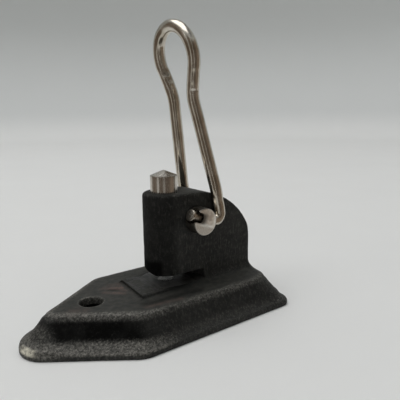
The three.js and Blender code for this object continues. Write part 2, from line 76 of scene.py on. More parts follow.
AXIS_X = (plunger_low.x + plunger_high.x) / 2
BASE_FRONT_X = casting_low.x - AXIS_X
BASE_REAR_X = casting_high.x - AXIS_X
BASE_HALF_WIDTH = casting_high.y
POST_TOP_Z = casting_high.z
PLUNGER_RADIUS = plunger_high.y
PLUNGER_SHOULDER_Z = plunger_low.z
PLUNGER_APEX_Z = plunger_high.z
DIE_RADIUS = anvil_high.y
SHAFT_X = swing["pos_m"][0] / MM - AXIS_X
SHAFT_Z = swing["pos_m"][2] / MM
SHAFT_RADIUS = (shaft_high.z - shaft_low.z) / 2
SHAFT_HALF_LENGTH = shaft_high.y
STROKE = slide["range_m"][1] / MM

# ---------------------------------------------------------------- dimensions the frame doesn't state

# Base and platform
BASE_SHOULDER_X = -24.0
TIP_SPARE = 0.4
TIP_ANGLE = math.radians(36.1)  # between each tapering side and the long axis
RIM_HEIGHT = 2.2
COVE_HOLLOW = 1.7  # 1 would make the base's sloping side straight
PLATFORM_Z = 11.1
PLATE_THICKNESS = 2.6
WALL_THICKNESS = 3.4
HOLLOW_CEILING_Z = PLATFORM_Z - PLATE_THICKNESS
HOLLOW_DRAFT = 1.6

# Post
POST_HALF_WIDTH = 7.65
POST_REAR_X = 34.4
POST_TOP_EDGE = 1.3
POST_REAR_CORNER = 1.6
POST_BACK_CURVE = [(POST_REAR_X, 22.0), (POST_REAR_X, 33.8), (21.0, POST_TOP_Z), (6.0, POST_TOP_Z)]
POST_FILLET = 3.6

# Throat, landing and holes
THROAT_FLOOR_Z = 12.1
THROAT_HEIGHT = 3.57
THROAT_END_X = 11.4
THROAT_CLOSING = 0.1  # how much lower the ceiling is at the nose
# The relief under the nose: its height on the axis over the ceiling, and its rise per millimetre forward and
# per millimetre across
RELIEF_RISE = -0.49
RELIEF_FORWARD = 0.198
RELIEF_ACROSS = 0.24
LANDING_FRONT_X = -14.2  # on the long axis
LANDING_SKEW = 0.095  # how far the front edge runs back for each millimetre across
LANDING_MIDDLE_Y = -0.1
LANDING_HALF_WIDTH = 8.7
LANDING_SPARE = 1.2  # cast longer than this in front, then cut back to a crisp edge
LANDING_SIDE_SLOPE = 4.6  # how far the sides run out for each millimetre down
SCREW_HOLE_X = -29.2
SCREW_HOLE_RADIUS = 3.8
SCREW_HOLE_MOUTH = 0.6
PLUNGER_BORE_MOUTH = 0.3
SPRING_SEAT_Z = 20.0
RUNNING_GAP = 0.1
PRESS_GAP = 0.06

# Plunger
PLUNGER_RIM_Z = 50.0
UPPER_DIE_GRIP = die_high.z - PLUNGER_SHOULDER_Z

# Rack and pinion
PINION_TEETH = 16
GEAR_MODULE = 25.4 / 48
PINION_HALF_WIDTH = 3.3
PRESSURE_ANGLE = math.radians(20)
BACKLASH = 0.12
DEDENDUM = 1.25 * GEAR_MODULE
PITCH_RADIUS = PINION_TEETH * GEAR_MODULE / 2
TOOTH_PITCH = math.pi * GEAR_MODULE
RACK_SPACES = 9
RACK_SPACES_BELOW = 3

# Wire handle
WIRE_RADIUS = 2.12
WIRE_SIDES = 32
WIRE_HOLE_GAP = 0.15
NOTCH_START = 1.2
NOTCH_OUTWARD = 1.0
LEG_Y = 10.1
HOOK_TILT = math.radians(20)
HOOK_RISE = 0.9
HOOK_FRONT = 5.3
HOOK_BACK = 4.8
HOOK_BEND_RADIUS = 2.7
HANDLE_LEAN = math.radians(11.4)
LEG_PARALLEL = 8.0
NECK_HEIGHT = 40.0
NECK_HALF_WIDTH = 5.9
BULB_HEIGHT = 54.2
BULB_RADIUS = 10.0

# Return spring and stop screw
SPRING_WIRE_RADIUS = 0.35
SPRING_TURNS = 5.5
SPRING_STEPS = 48  # in one turn
SPRING_SIDES = 12
STOP_SCREW_Z = (screw_low.z + screw_high.z) / 2
STOP_SCREW_RADIUS = (screw_high.z - screw_low.z) / 2
STOP_POINT_RADIUS = 1.0

# Unevenness of the casting and of the wire, and the burr on the wire's cut ends
CAST_WAVES = [(0.06, 4.0), (0.022, 1.1)]  # depth, and size across
WIRE_WOBBLE = 0.035
WIRE_WOBBLE_LENGTH = 7.0
WIRE_BURR = 0.12

# Fineness of the meshes
VOXEL = 0.34
ROUND_SIDES = 96
OVERSHOOT = 2.0


# ---------------------------------------------------------------- mesh tools

def new_object(name, points, faces, material=None):
    mesh = bpy.data.meshes.new(name)
    mesh.from_pydata([tuple(point) for point in points], [], faces)
    if material:
        mesh.materials.append(material)
    made = bpy.data.objects.new(name, mesh)
    bpy.context.scene.collection.objects.link(made)
    return made


def points_of(obj):
    points = np.zeros(len(obj.data.vertices) * 3)
    obj.data.vertices.foreach_get("co", points)
    return points.reshape(-1, 3)


def set_points(obj, points):
    obj.data.vertices.foreach_set("co", points.ravel())
    obj.data.update()


def normals_of(obj):
    normals = np.zeros(len(obj.data.vertices) * 3)
    obj.data.vertex_normals.foreach_get("vector", normals)
    return normals.reshape(-1, 3)


def apply_modifiers(obj):
    graph = bpy.context.evaluated_depsgraph_get()
    mesh = bpy.data.meshes.new_from_object(obj.evaluated_get(graph))
    obj.modifiers.clear()
    obj.data = mesh


def discard(*objects):
    for obj in objects:
        bpy.data.objects.remove(obj)


def combine(obj, operation, *others, solver="EXACT"):
    """Cuts the others out of obj, or joins them to it, all at once."""
    group = bpy.data.collections.new("operands")
    for other in others:
        group.objects.link(other)
    modifier = obj.modifiers.new("combine", "BOOLEAN")
    modifier.operation = operation
    modifier.solver = solver
    modifier.operand_type = "COLLECTION"
    modifier.collection = group
    modifier.material_mode = "TRANSFER"
    apply_modifiers(obj)
    discard(*others)
    bpy.data.collections.remove(group)
    return obj


def join(name, *objects):
    """One object that holds the meshes of all of these, still overlapping."""
    points = []
    faces = []
    for obj in objects:
        start = len(points)
        points.extend(points_of(obj))
        faces.extend([[start + i for i in face.vertices] for face in obj.data.polygons])
    discard(*objects)
    return new_object(name, points, faces)


def place(obj, name):
    """Moves a shape from millimetres about the plunger's axis to metres in the part's frame."""
    obj.data.transform(Matrix.Diagonal((MM, MM, MM, 1)) @ Matrix.Translation((AXIS_X, 0, 0)))
    obj.name = name
    obj.data.name = name
    return obj


def shade(obj, sharp_angle):
    obj.data.polygons.foreach_set("use_smooth", [True] * len(obj.data.polygons))
    obj.data.set_sharp_from_angle(angle=math.radians(sharp_angle))


def paint(obj, name, values):
    """Stores one number per vertex, which a material reads by its name."""
    attribute = obj.data.attributes.new(name, "FLOAT", "POINT")
    attribute.data.foreach_set("value", np.asarray(values, np.float32))


def on_circle(radius, angle):
    return radius * math.cos(angle), radius * math.sin(angle)


def circle_points(radius, z, sides):
    return [(*on_circle(radius, 2 * math.pi * i / sides), z) for i in range(sides)]


def quarter_turn(steps):
    """Pairs from (0, 0) to (1, 1) round a quarter circle that sets out along the second of the two."""
    turns = [math.pi / 2 * step / steps for step in range(steps + 1)]
    return [(1 - math.cos(turn), math.sin(turn)) for turn in turns]


def ring_faces(rings, count, first=0, closed=True):
    """Quads between each ring of count points and the next."""
    faces = []
    for ring in range(rings - 1):
        low = first + ring * count
        for i in range(count if closed else count - 1):
            j = (i + 1) % count
            faces.append([low + i, low + j, low + count + j, low + count + i])
    return faces


def loft(rings, material=None):
    """A closed skin through (z, outline) rings, from the lowest to the highest."""
    count = len(rings[0][1])
    points = [(x, y, z) for z, outline in rings for x, y in outline]
    faces = [list(range(count))[::-1]] + ring_faces(len(rings), count)
    faces.append([(len(rings) - 1) * count + i for i in range(count)])
    return new_object("loft", points, faces, material)


def lathe(profile, sides=ROUND_SIDES, material=None):
    """Turns (radius, z) points about the Z axis, from the axis below to the axis above."""
    points = [(0, 0, profile[0][1])]
    for radius, z in profile[1:-1]:
        points += circle_points(radius, z, sides)
    points.append((0, 0, profile[-1][1]))
    last = len(points) - 1
    top = last - sides
    faces = [[0, 1 + (i + 1) % sides, 1 + i] for i in range(sides)]
    faces += ring_faces(len(profile) - 2, sides, first=1)
    faces += [[last, top + i, top + (i + 1) % sides] for i in range(sides)]
    return new_object("lathe", points, faces, material)


def cylinder(radius, low, high, material=None):
    return lathe([(0, low), (radius, low), (radius, high), (0, high)], material=material)


def cross_cylinder(radius, low, high, x, z, material=None):
    made = cylinder(radius, low, high, material)
    made.data.transform(Matrix.Translation((x, 0, z)) @ Matrix.Rotation(-math.pi / 2, 4, "X"))
    return made


def block(low, high, material=None):
    (x0, y0, z0), (x1, y1, z1) = low, high
    outline = [(x0, y0), (x1, y0), (x1, y1), (x0, y1)]
    return loft([(z0, outline), (z1, outline)], material)


def extrude(outline, depth, material=None):
    """Stands an (x, z) outline up, depth thick and centred on y = 0."""
    made = loft([(-depth / 2, outline), (depth / 2, outline)], material)
    made.data.transform(Matrix.Rotation(math.pi / 2, 4, "X"))
    return made


def tube(path, radii, sides, skin=None, material=None):
    """A closed tube. skin(ring, direction) adds to the radius at a ring, in a direction from the path."""
    path = np.asarray(path, float)
    tangents = np.gradient(path, axis=0)
    tangents /= np.linalg.norm(tangents, axis=1)[:, None]
    side = np.cross(tangents[0], (0.0, 1.0, 0.0))
    if np.linalg.norm(side) < 0.1:
        side = np.cross(tangents[0], (1.0, 0.0, 0.0))
    points = []
    for ring, (centre, tangent) in enumerate(zip(path, tangents)):
        side = side - tangent * (side @ tangent)
        side /= np.linalg.norm(side)
        other = np.cross(tangent, side)
        for i in range(sides):
            angle = 2 * math.pi * i / sides
            direction = math.cos(angle) * side + math.sin(angle) * other
            radius = radii[ring] + (skin(ring, direction) if skin else 0.0)
            points.append(centre + radius * direction)
    faces = ring_faces(len(path), sides)
    end = len(points)
    points.append(path[0])
    points.append(path[-1])
    top = (len(path) - 1) * sides
    for i in range(sides):
        j = (i + 1) % sides
        faces.append([end, j, i])
        faces.append([end + 1, top + i, top + j])
    return new_object("tube", points, faces, material)


def rounded_polygon(corners, steps):
    """Points of a polygon with rounded corners, each ((x, y), radius), taken counterclockwise."""
    points = []
    for i, (corner, radius) in enumerate(corners):
        here = Vector(corner)
        back = (Vector(corners[i - 1][0]) - here).normalized()
        ahead = (Vector(corners[(i + 1) % len(corners)][0]) - here).normalized()
        half_angle = math.acos(back.dot(ahead)) / 2
        middle = (back + ahead).normalized()
        centre = here + middle * (radius / math.sin(half_angle))
        turn = math.pi - 2 * half_angle
        start = math.atan2(middle.y, middle.x) + math.pi - turn / 2
        for step in range(steps + 1):
            angle = start + turn * step / steps
            across, along = on_circle(radius, angle)
            points.append((centre.x + across, centre.y + along))
    return points


def lerp(low, high, share):
    return low + (high - low) * share


def smoothstep(low, high, value):
    share = np.clip((value - low) / (high - low), 0.0, 1.0)
    return share * share * (3 - 2 * share)


def bump_at(points, centre, spread):
    """1 at the centre, falling to 0 over about the spread given along each axis."""
    away = (points - np.array(centre)) / np.array(spread)
    return np.exp(-(away ** 2).sum(axis=1))


def noise_at(points, scale, octaves=3):
    """Smooth noise of about -1 to 1, with features about scale across."""
    return np.array([
        noise.fractal(Vector(point) / scale, 0.9, 2.0, octaves, noise_basis="PERLIN_ORIGINAL")
        for point in points
    ])


# ---------------------------------------------------------------- material tools

class Surface:
    """A material made of nodes round one principled shader."""

    def __init__(self, name, base_color, **inputs):
        self.material = bpy.data.materials.new(name)
        self.material.use_nodes = True
        self.tree = self.material.node_tree
        self.shader = self.tree.nodes["Principled BSDF"]
        self.position = self.node("ShaderNodeTexCoord").outputs["Object"]
        self.set(self.shader, {"Base Color": (*base_color, 1), **inputs})

    def set(self, node, inputs):
        for key, value in inputs.items():
            if isinstance(value, bpy.types.NodeSocket):
                self.tree.links.new(value, node.inputs[key])
            else:
                node.inputs[key].default_value = value

    def node(self, kind, inputs=None, **settings):
        made = self.tree.nodes.new(kind)
        for key, value in settings.items():
            setattr(made, key, value)
        self.set(made, inputs or {})
        return made

    def attribute(self, name):
        return self.node("ShaderNodeAttribute", attribute_name=name).outputs["Fac"]

    def noise(self, feature, detail=3.0, roughness=0.55, stretch=None):
        """Noise with features about this many millimetres across, stretched along an axis if asked."""
        vector = self.position
        if stretch:
            inputs = {"Vector": self.position, "Scale": stretch}
            vector = self.node("ShaderNodeMapping", inputs).outputs["Vector"]
        inputs = {"Vector": vector, "Scale": 1 / (feature * MM), "Detail": detail, "Roughness": roughness}
        return self.node("ShaderNodeTexNoise", inputs).outputs["Fac"]

    def cells(self, feature):
        inputs = {"Vector": self.position, "Scale": 1 / (feature * MM)}
        return self.node("ShaderNodeTexVoronoi", inputs).outputs["Distance"]

    def math(self, operation, *values):
        return self.node("ShaderNodeMath", dict(enumerate(values)), operation=operation).outputs[0]

    def times(self, first, second):
        return self.math("MULTIPLY", first, second)

    def span(self, value, low, high, to_low=0.0, to_high=1.0):
        """Carries low..high onto to_low..to_high, with soft ends."""
        inputs = {"Value": value, "From Min": low, "From Max": high, "To Min": to_low, "To Max": to_high}
        return self.node("ShaderNodeMapRange", inputs, interpolation_type="SMOOTHSTEP").outputs["Result"]

    def mix(self, share, first, second):
        """Two colours mixed, each a socket or a plain colour. 0, 6, 7 and 2 are the node's colour sockets."""
        colors = [c if isinstance(c, bpy.types.NodeSocket) else (*c, 1) for c in (first, second)]
        inputs = {0: share, 6: colors[0], 7: colors[1]}
        return self.node("ShaderNodeMix", inputs, data_type="RGBA").outputs[2]

    def blend(self, value, low, high, first, second, most=1.0):
        """The first colour where the value is under low, and the second, at most this strongly, over high."""
        return self.mix(self.span(value, low, high, 0.0, most), first, second)

    def color(self, value):
        self.tree.links.new(value, self.shader.inputs["Base Color"])

    def bump(self, *layers):
        """Each layer is (height socket, depth in millimetres, strength)."""
        normal = None
        for height, depth, strength in layers:
            inputs = {"Height": height, "Distance": depth * MM, "Strength": strength}
            if normal:
                inputs["Normal"] = normal
            normal = self.node("ShaderNodeBump", inputs).outputs["Normal"]
        self.set(self.shader, {"Normal": normal})


# ---------------------------------------------------------------- materials

def japanned_iron():
    """Sand-cast iron under thin black japan, worn through to grey-brown metal along its edges, with shade and
    light painted into its colour.
    """
    surface = Surface("japanned_iron", (0.02, 0.02, 0.02))
    wear_and_hole_light = surface.attribute("wear_and_hole_light")
    painted_shade_and_dirt = surface.attribute("painted_shade_and_dirt")
    rust = surface.attribute("rust")
    bare = surface.attribute("bare")
    smooth_and_lit = surface.attribute("smooth_and_lit")
    cloud = surface.noise(9.0, detail=4.0)
    grain = surface.noise(0.9, detail=3.0, roughness=0.6)
    speck = surface.noise(0.7, detail=4.0, roughness=0.8)
    rain = surface.noise(0.7, detail=4.0, roughness=0.7, stretch=(1.0, 1.0, 0.3))
    scuff = surface.noise(1.8, detail=5.0, roughness=0.65)
    pits = surface.cells(0.9)

    japan = surface.blend(cloud, 0.35, 0.65, (0.0108, 0.0110, 0.0103), (0.0190, 0.0192, 0.0174))
    japan = surface.blend(speck, 0.54, 0.68, japan, (0.050, 0.048, 0.042), 0.5)
    japan = surface.blend(rain, 0.50, 0.68, japan, (0.062, 0.060, 0.053), 0.75)
    japan = surface.blend(scuff, 0.50, 0.68, japan, (0.040, 0.0385, 0.034), 0.6)
    # Painted light: this lighter japan goes on upward faces and in the screw hole.
    top = surface.blend(scuff, 0.36, 0.64, (0.024, 0.0248, 0.0222), (0.046, 0.0445, 0.039))
    japan = surface.mix(smooth_and_lit, japan, top)
    # Painted shade: near black where shade is painted, and on one streak of dirt.
    japan = surface.mix(painted_shade_and_dirt, japan, (0.0015, 0.0016, 0.0014))
    # Worn grey-brown metal on the edges, and painted light on the screw hole's wall.
    rubbed_and_lit = surface.blend(speck, 0.36, 0.68, (0.034, 0.033, 0.029), (0.20, 0.191, 0.172))
    ragged = surface.math("MULTIPLY_ADD", surface.math("SUBTRACT", speck, 0.5), 1.1, wear_and_hole_light)
    worn_and_lit_share = surface.span(ragged, 0.05, 0.95)
    color = surface.mix(worn_and_lit_share, japan, rubbed_and_lit)
    rust_share = surface.times(rust, surface.span(grain, 0.35, 0.6, 0.35, 1.0))
    color = surface.mix(rust_share, color, (0.165, 0.104, 0.088))
    bare_share = surface.times(bare, surface.span(grain, 0.30, 0.50, 0.45, 1.0))
    color = surface.mix(bare_share, color, (0.74, 0.70, 0.58))
    surface.color(color)

    dull = surface.span(grain, 0.3, 0.7, 0.52, 0.68)
    dull = surface.math("MULTIPLY_ADD", painted_shade_and_dirt, 0.3, dull)
    metal = surface.times(surface.math("MAXIMUM", worn_and_lit_share, bare_share), 0.3)
    glint = surface.math("MULTIPLY_ADD", painted_shade_and_dirt, -0.13, 0.22)
    surface.set(surface.shader, {"Roughness": dull, "Metallic": metal, "Specular IOR Level": glint})
    rough_share = surface.math("SUBTRACT", 1.0, surface.times(smooth_and_lit, 0.7))
    surface.bump(
        (surface.times(grain, rough_share), 0.28, 0.8),
        (surface.times(surface.span(pits, 0.0, 0.35), rough_share), 0.05, 0.5),
        (surface.noise(0.25, detail=2.0), 0.02, 0.4),
    )
    return surface.material


def milled_iron():
    """Cut iron inside the throat and the bores, dark with age, with fine cutter lines."""
    surface = Surface("milled_iron", (0.02, 0.019, 0.018), Metallic=0.2)
    lines = surface.noise(0.35, stretch=(1.0, 0.06, 1.0))
    stain = surface.noise(2.5, detail=4.0)
    surface.color(surface.blend(stain, 0.35, 0.65, (0.007, 0.0068, 0.0062), (0.026, 0.0245, 0.022)))
    surface.set(surface.shader, {"Roughness": surface.span(lines, 0.3, 0.7, 0.38, 0.6)})
    surface.bump((lines, 0.03, 0.5))
    return surface.material


def turned_steel():
    """Bright steel with fine lines round it from the lathe and faint streaks along it from its bore."""
    surface = Surface("turned_steel", (0.60, 0.575, 0.535), Metallic=1.0)
    rings = surface.noise(0.16, detail=2.0, stretch=(0.04, 0.04, 1.0))
    streaks = surface.noise(0.45, detail=3.0, roughness=0.65, stretch=(1.0, 1.0, 0.035))
    smudge = surface.noise(3.0, detail=4.0)
    bands = surface.noise(2.2, detail=1.0, stretch=(1.0, 1.0, 0.03))
    tint = surface.blend(streaks, 0.35, 0.68, (0.50, 0.465, 0.42), (0.64, 0.605, 0.55))
    color = surface.blend(smudge, 0.56, 0.78, tint, (0.34, 0.30, 0.25), 0.4)
    edge = surface.attribute("edge")
    surface.color(surface.mix(surface.times(edge, 0.55), color, (0.2, 0.18, 0.155)))
    surface.set(surface.shader, {"Roughness": surface.span(streaks, 0.25, 0.75, 0.2, 0.3)})
    surface.bump((rings, 0.006, 0.25), (streaks, 0.006, 0.2), (bands, 0.35, 0.35))
    return surface.material


def nickel_wire():
    """Warm old nickel plate on drawn wire, with drawing lines, small pits, tool-marked bends and painted
    shade where it goes into the shaft.
    """
    surface = Surface("nickel_wire", (0.57, 0.525, 0.455), Metallic=1.0)
    cloud = surface.noise(6.0, detail=4.0)
    drawn = surface.noise(0.3, detail=3.0, roughness=0.6, stretch=(1.0, 1.0, 0.05))
    spots = surface.noise(1.1, detail=2.0, roughness=0.5)
    scar_and_shade = surface.attribute("scar_and_shade")
    cut = surface.attribute("cut")
    color = surface.blend(cloud, 0.34, 0.68, (0.45, 0.405, 0.335), (0.62, 0.58, 0.51))
    color = surface.blend(spots, 0.68, 0.76, color, (0.15, 0.115, 0.08), 0.7)
    # Tool marks, and painted shade where the wire goes into the shaft.
    scarred_and_shaded = surface.times(scar_and_shade, surface.span(spots, 0.40, 0.62, 0.35, 1.0))
    color = surface.mix(scarred_and_shaded, color, (0.075, 0.055, 0.04))
    rough_end = surface.noise(0.8, detail=3.0, roughness=0.7)
    sheared = surface.blend(rough_end, 0.4, 0.62, (0.10, 0.08, 0.062), (0.46, 0.44, 0.39))
    surface.color(surface.mix(cut, color, sheared))
    dull = surface.span(cloud, 0.3, 0.7, 0.13, 0.24)
    dull = surface.math("ADD", dull, surface.times(surface.math("MAXIMUM", scar_and_shade, cut), 0.25))
    surface.set(surface.shader, {"Roughness": dull})
    end_relief = surface.times(rough_end, cut)
    surface.bump((drawn, 0.008, 0.3), (cloud, 0.12, 0.25), (end_relief, 0.25, 0.9))
    return surface.material


def worn_nickel():
    """The cross shaft: shiny worn plate over the wire, dull and pale on the flat of the end, with painted
    shade round the wire's hole.
    """
    surface = Surface("worn_nickel", (0.58, 0.54, 0.49), Metallic=1.0)
    ground = surface.attribute("ground")
    cloud = surface.noise(1.6, detail=4.0, roughness=0.6)
    grit = surface.noise(0.35, detail=3.0, roughness=0.7)
    plate = surface.blend(cloud, 0.35, 0.66, (0.66, 0.62, 0.56), (0.90, 0.865, 0.80))
    pale = surface.blend(grit, 0.35, 0.65, (0.53, 0.485, 0.43), (0.70, 0.655, 0.59))
    # Painted shade: this dark colour goes where shade is painted on the shaft.
    painted_shade = surface.attribute("painted_shade")
    surface.color(surface.mix(painted_shade, surface.mix(ground, plate, pale), (0.035, 0.028, 0.018)))
    dull = surface.span(cloud, 0.3, 0.7, 0.28, 0.4)
    surface.set(surface.shader, {
        "Roughness": surface.math("ADD", dull, surface.times(ground, 0.2)),
        "Metallic": surface.math("SUBTRACT", 0.85, surface.times(ground, 0.2)),
    })
    surface.bump((cloud, 0.12, 0.4), (grit, 0.03, 0.4))
    return surface.material


def ground_steel(name, dark, light):
    """Hardened steel with a fine ground face."""
    surface = Surface(name, light, Metallic=1.0)
    grind = surface.noise(0.14, detail=2.0, stretch=(1.0, 0.08, 1.0))
    cloud = surface.noise(1.5, detail=3.0)
    surface.color(surface.blend(cloud, 0.35, 0.65, dark, light))
    surface.set(surface.shader, {"Roughness": surface.span(grind, 0.3, 0.7, 0.22, 0.4)})
    surface.bump((grind, 0.01, 0.5))
    return surface.material


def oiled_steel(name, dark, light, roughness):
    """Steel darkened with oil."""
    surface = Surface(name, light, Metallic=0.9)
    cloud = surface.noise(0.9, detail=4.0)
    surface.color(surface.blend(cloud, 0.35, 0.65, dark, light))
    surface.set(surface.shader, {"Roughness": surface.span(cloud, 0.3, 0.7, roughness, roughness + 0.15)})
    surface.bump((surface.noise(0.3), 0.02, 0.4))
    return surface.material


# ---------------------------------------------------------------- frame casting

RIM = {
    "half_width": BASE_HALF_WIDTH, "rear_x": BASE_REAR_X, "shoulder_x": BASE_SHOULDER_X,
    "front_x": BASE_FRONT_X, "rear_radius": 4.5, "shoulder_radius": 8.0,
}
PLATFORM = {
    "half_width": 18.4, "rear_x": 35.6, "shoulder_x": -19.0,
    "front_x": -42.6, "rear_radius": 10.5, "shoulder_radius": 10.0,
}


def between(first, second, share):
    return {key: lerp(first[key], second[key], share) for key in first}


def base_outline(half_width, rear_x, shoulder_x, front_x, rear_radius, shoulder_radius):
    """The plan of the base at one level: square at the rear, tapering to a rounded tip."""
    sharp_tip_x = shoulder_x - half_width / math.tan(TIP_ANGLE)
    tip_radius = (front_x - sharp_tip_x) / (1 / math.sin(TIP_ANGLE) - 1)
    corners = [
        ((rear_x, half_width), rear_radius),
        ((shoulder_x, half_width), shoulder_radius),
        ((sharp_tip_x, 0), tip_radius),
        ((shoulder_x, -half_width), shoulder_radius),
        ((rear_x, -half_width), rear_radius),
    ]
    return rounded_polygon(corners, 20)


def base_solid():
    """A thin flange, a hollow cove and a rounded edge onto the platform."""
    flange_end = 0.12
    cove_end = 0.86
    edge_end = 1.06
    cove_top = PLATFORM_Z - 1.1
    section = [(0.02, 0.0), (0.0, 0.4), (0.0, RIM_HEIGHT - 0.7), (0.04, RIM_HEIGHT - 0.15)]
    cove_steps = 28
    for step in range(cove_steps + 1):
        along = step / cove_steps
        section.append((lerp(flange_end, cove_end, along), lerp(RIM_HEIGHT, cove_top, along ** COVE_HOLLOW)))
    for inward, up in quarter_turn(8)[1:]:
        section.append((lerp(cove_end, edge_end, inward), lerp(cove_top, PLATFORM_Z, up)))
    return loft([(z, base_outline(**between(RIM, PLATFORM, inward))) for inward, z in section])


def hollow_solid():
    """The hollow under the base, a little wider at its mouth."""
    ceiling = {
        "half_width": PLATFORM["half_width"] - WALL_THICKNESS,
        "rear_x": PLATFORM["rear_x"] - WALL_THICKNESS,
        "shoulder_x": PLATFORM["shoulder_x"] + 1,
        "front_x": PLATFORM["front_x"] + WALL_THICKNESS / math.sin(TIP_ANGLE) - 0.4,
        "rear_radius": 2.0,
        "shoulder_radius": 3.0,
    }
    mouth = {
        **ceiling,
        "half_width": ceiling["half_width"] + HOLLOW_DRAFT,
        "rear_x": ceiling["rear_x"] + HOLLOW_DRAFT / 2,
        "front_x": ceiling["front_x"] - HOLLOW_DRAFT,
    }
    levels = [(-OVERSHOOT, mouth), (0.0, mouth), (HOLLOW_CEILING_Z, ceiling)]
    return loft([(z, base_outline(**plan)) for z, plan in levels])


def post_outline(offset):
    """The post's plan: a half-round nose about the plunger's axis, and a square back with small corners."""
    half = POST_HALF_WIDTH + offset
    rear = POST_REAR_X + offset
    corner = POST_REAR_CORNER + offset
    corners = [((-rear, half), 0.01), ((-rear, -half), 0.01), ((rear, -half), corner), ((rear, half), corner)]
    points = [point for point in rounded_polygon(corners, 12) if point[0] > 0]
    nose_steps = 64
    points += [on_circle(half, math.pi / 2 + math.pi * step / nose_steps) for step in range(nose_steps + 1)]
    return points


def post_solid():
    """The upright post. Its back curves forward into its top."""
    rings = [(HOLLOW_CEILING_Z + 1, post_outline(0))]
    for inward, up in quarter_turn(6):
        rings.append((POST_TOP_Z - POST_TOP_EDGE * (1 - up), post_outline(-POST_TOP_EDGE * inward)))
    clear = 20.0
    back_steps = 40
    outline = [(-clear, HOLLOW_CEILING_Z), (POST_REAR_X + OVERSHOOT, HOLLOW_CEILING_Z)]
    outline += [bezier_point(step / back_steps, *POST_BACK_CURVE) for step in range(back_steps + 1)]
    outline.append((-clear, POST_TOP_Z + 0.01))
    return combine(loft(rings), "INTERSECT", extrude(outline, 2 * clear))


def bezier_point(t, *controls):
    first, second, third, fourth = (np.array(control) for control in controls)
    weights = ((1 - t) ** 3, 3 * t * (1 - t) ** 2, 3 * t * t * (1 - t), t ** 3)
    return tuple(weights[0] * first + weights[1] * second + weights[2] * third + weights[3] * fourth)


def fillet_solid():
    """The sweep from the post's sides into the platform."""
    rings = [(HOLLOW_CEILING_Z + 1, post_outline(POST_FILLET))]
    for up, inward in quarter_turn(16):
        rings.append((PLATFORM_Z + POST_FILLET * up + 0.05, post_outline(POST_FILLET * (1 - inward))))
    top = base_outline(**PLATFORM)
    return combine(loft(rings), "INTERSECT", loft([(HOLLOW_CEILING_Z, top), (POST_TOP_Z, top)]))


def landing_solid():
    """The raised landing under the throat, sloping down into the platform at its sides."""
    levels = []
    for z in (PLATFORM_Z - 0.5, THROAT_FLOOR_Z):
        spread = (THROAT_FLOOR_Z - z) * LANDING_SIDE_SLOPE
        levels.append((z, landing_outline(LANDING_FRONT_X - LANDING_SPARE, THROAT_END_X, spread)))
    return loft(levels)


def landing_outline(front, rear, spread):
    """A plan with the landing's slanting front edge, spread wider behind it on both sides."""
    near = LANDING_MIDDLE_Y - LANDING_HALF_WIDTH
    far = LANDING_MIDDLE_Y + LANDING_HALF_WIDTH
    return [
        (front + LANDING_SKEW * near, near), (rear, near - spread), (rear, far + spread),
        (front + LANDING_SKEW * far, far),
    ]


def fuller_ends(points):
    """Shallows the cove round the tip and the rear corners, and lowers the platform behind the post."""
    x, y, z = points.T
    at_tip = smoothstep(-39.0, -46.5, x) * smoothstep(1.0, 2.8, z) * smoothstep(11.0, 8.0, z)
    corner = sum(bump_at(points, (BASE_REAR_X - 3.0, side * 20.0, 4.0), (6.0, 7.0, 5.0)) for side in (-1, 1))
    at_corner = corner * smoothstep(1.6, 3.4, z) * smoothstep(11.0, 8.0, z)
    behind_post = smoothstep(32.5, 36.0, x) * smoothstep(7.5, 10.8, z) * smoothstep(16.0, 13.0, z)
    move = np.zeros_like(points)
    move[:, 0] = -TIP_SPARE * smoothstep(-30.0, -50.0, x)
    move[:, 2] = 1.5 * at_tip + 1.2 * at_corner - 0.7 * behind_post
    return move


def cast_body():
    """The rough casting, before anything is machined: one skin with soft edges and an uneven surface."""
    base = combine(base_solid(), "DIFFERENCE", hollow_solid())
    body = join("cast_body", base, landing_solid(), fillet_solid(), post_solid())
    remesh = body.modifiers.new("skin", "REMESH")
    remesh.mode = "VOXEL"
    remesh.voxel_size = VOXEL
    soften = body.modifiers.new("soften", "SMOOTH")
    soften.factor = 0.5
    soften.iterations = 7
    apply_modifiers(body)
    points = points_of(body)
    low, high = points.min(axis=0), points.max(axis=0)
    full_low = np.array((BASE_FRONT_X, -BASE_HALF_WIDTH, 0.0))
    full_high = np.array((BASE_REAR_X, BASE_HALF_WIDTH, POST_TOP_Z))
    points = full_low + (points - low) / (high - low) * (full_high - full_low)
    points += fuller_ends(points)
    set_points(body, points)
    uneven = sum(depth * noise_at(points, size) for depth, size in CAST_WAVES)
    uneven *= smoothstep(0.3, 1.5, points[:, 2])
    set_points(body, points + normals_of(body) * uneven[:, None])
    return body


def flared_bore(radius, mouth, low, high, face_z, x, material):
    """A bore with a rounded mouth at face_z."""
    profile = [(0, low), (radius, low)]
    profile += [(radius + mouth * out, face_z - mouth * (1 - up)) for out, up in quarter_turn(6)]
    profile += [(radius + mouth, high), (0, high)]
    made = lathe(profile, material=material)
    made.data.transform(Matrix.Translation((x, 0, 0)))
    return made


def front_step(material):
    """The crisp drop at the landing's front edge, as the pattern left it."""
    past_ends = 0.3
    foot_z = PLATFORM_Z + 0.08
    outline = landing_outline(LANDING_FRONT_X, LANDING_FRONT_X, 0)
    near = (outline[0][0], outline[0][1] - past_ends)
    far = (outline[3][0], outline[3][1] + past_ends)
    back = 3 * LANDING_SPARE
    plan = [(near[0] - back, near[1]), near, far, (far[0] - back, far[1])]
    return loft([(foot_z, plan), (THROAT_FLOOR_Z + 1, plan)], material)


def throat_outline():
    """The throat from the side. Its ceiling comes down a little towards the nose."""
    ceiling = THROAT_FLOOR_Z + THROAT_HEIGHT
    return [
        (BASE_FRONT_X, THROAT_FLOOR_Z), (THROAT_END_X, THROAT_FLOOR_Z), (THROAT_END_X, ceiling),
        (-POST_HALF_WIDTH, ceiling - THROAT_CLOSING), (BASE_FRONT_X, ceiling - THROAT_CLOSING),
    ]


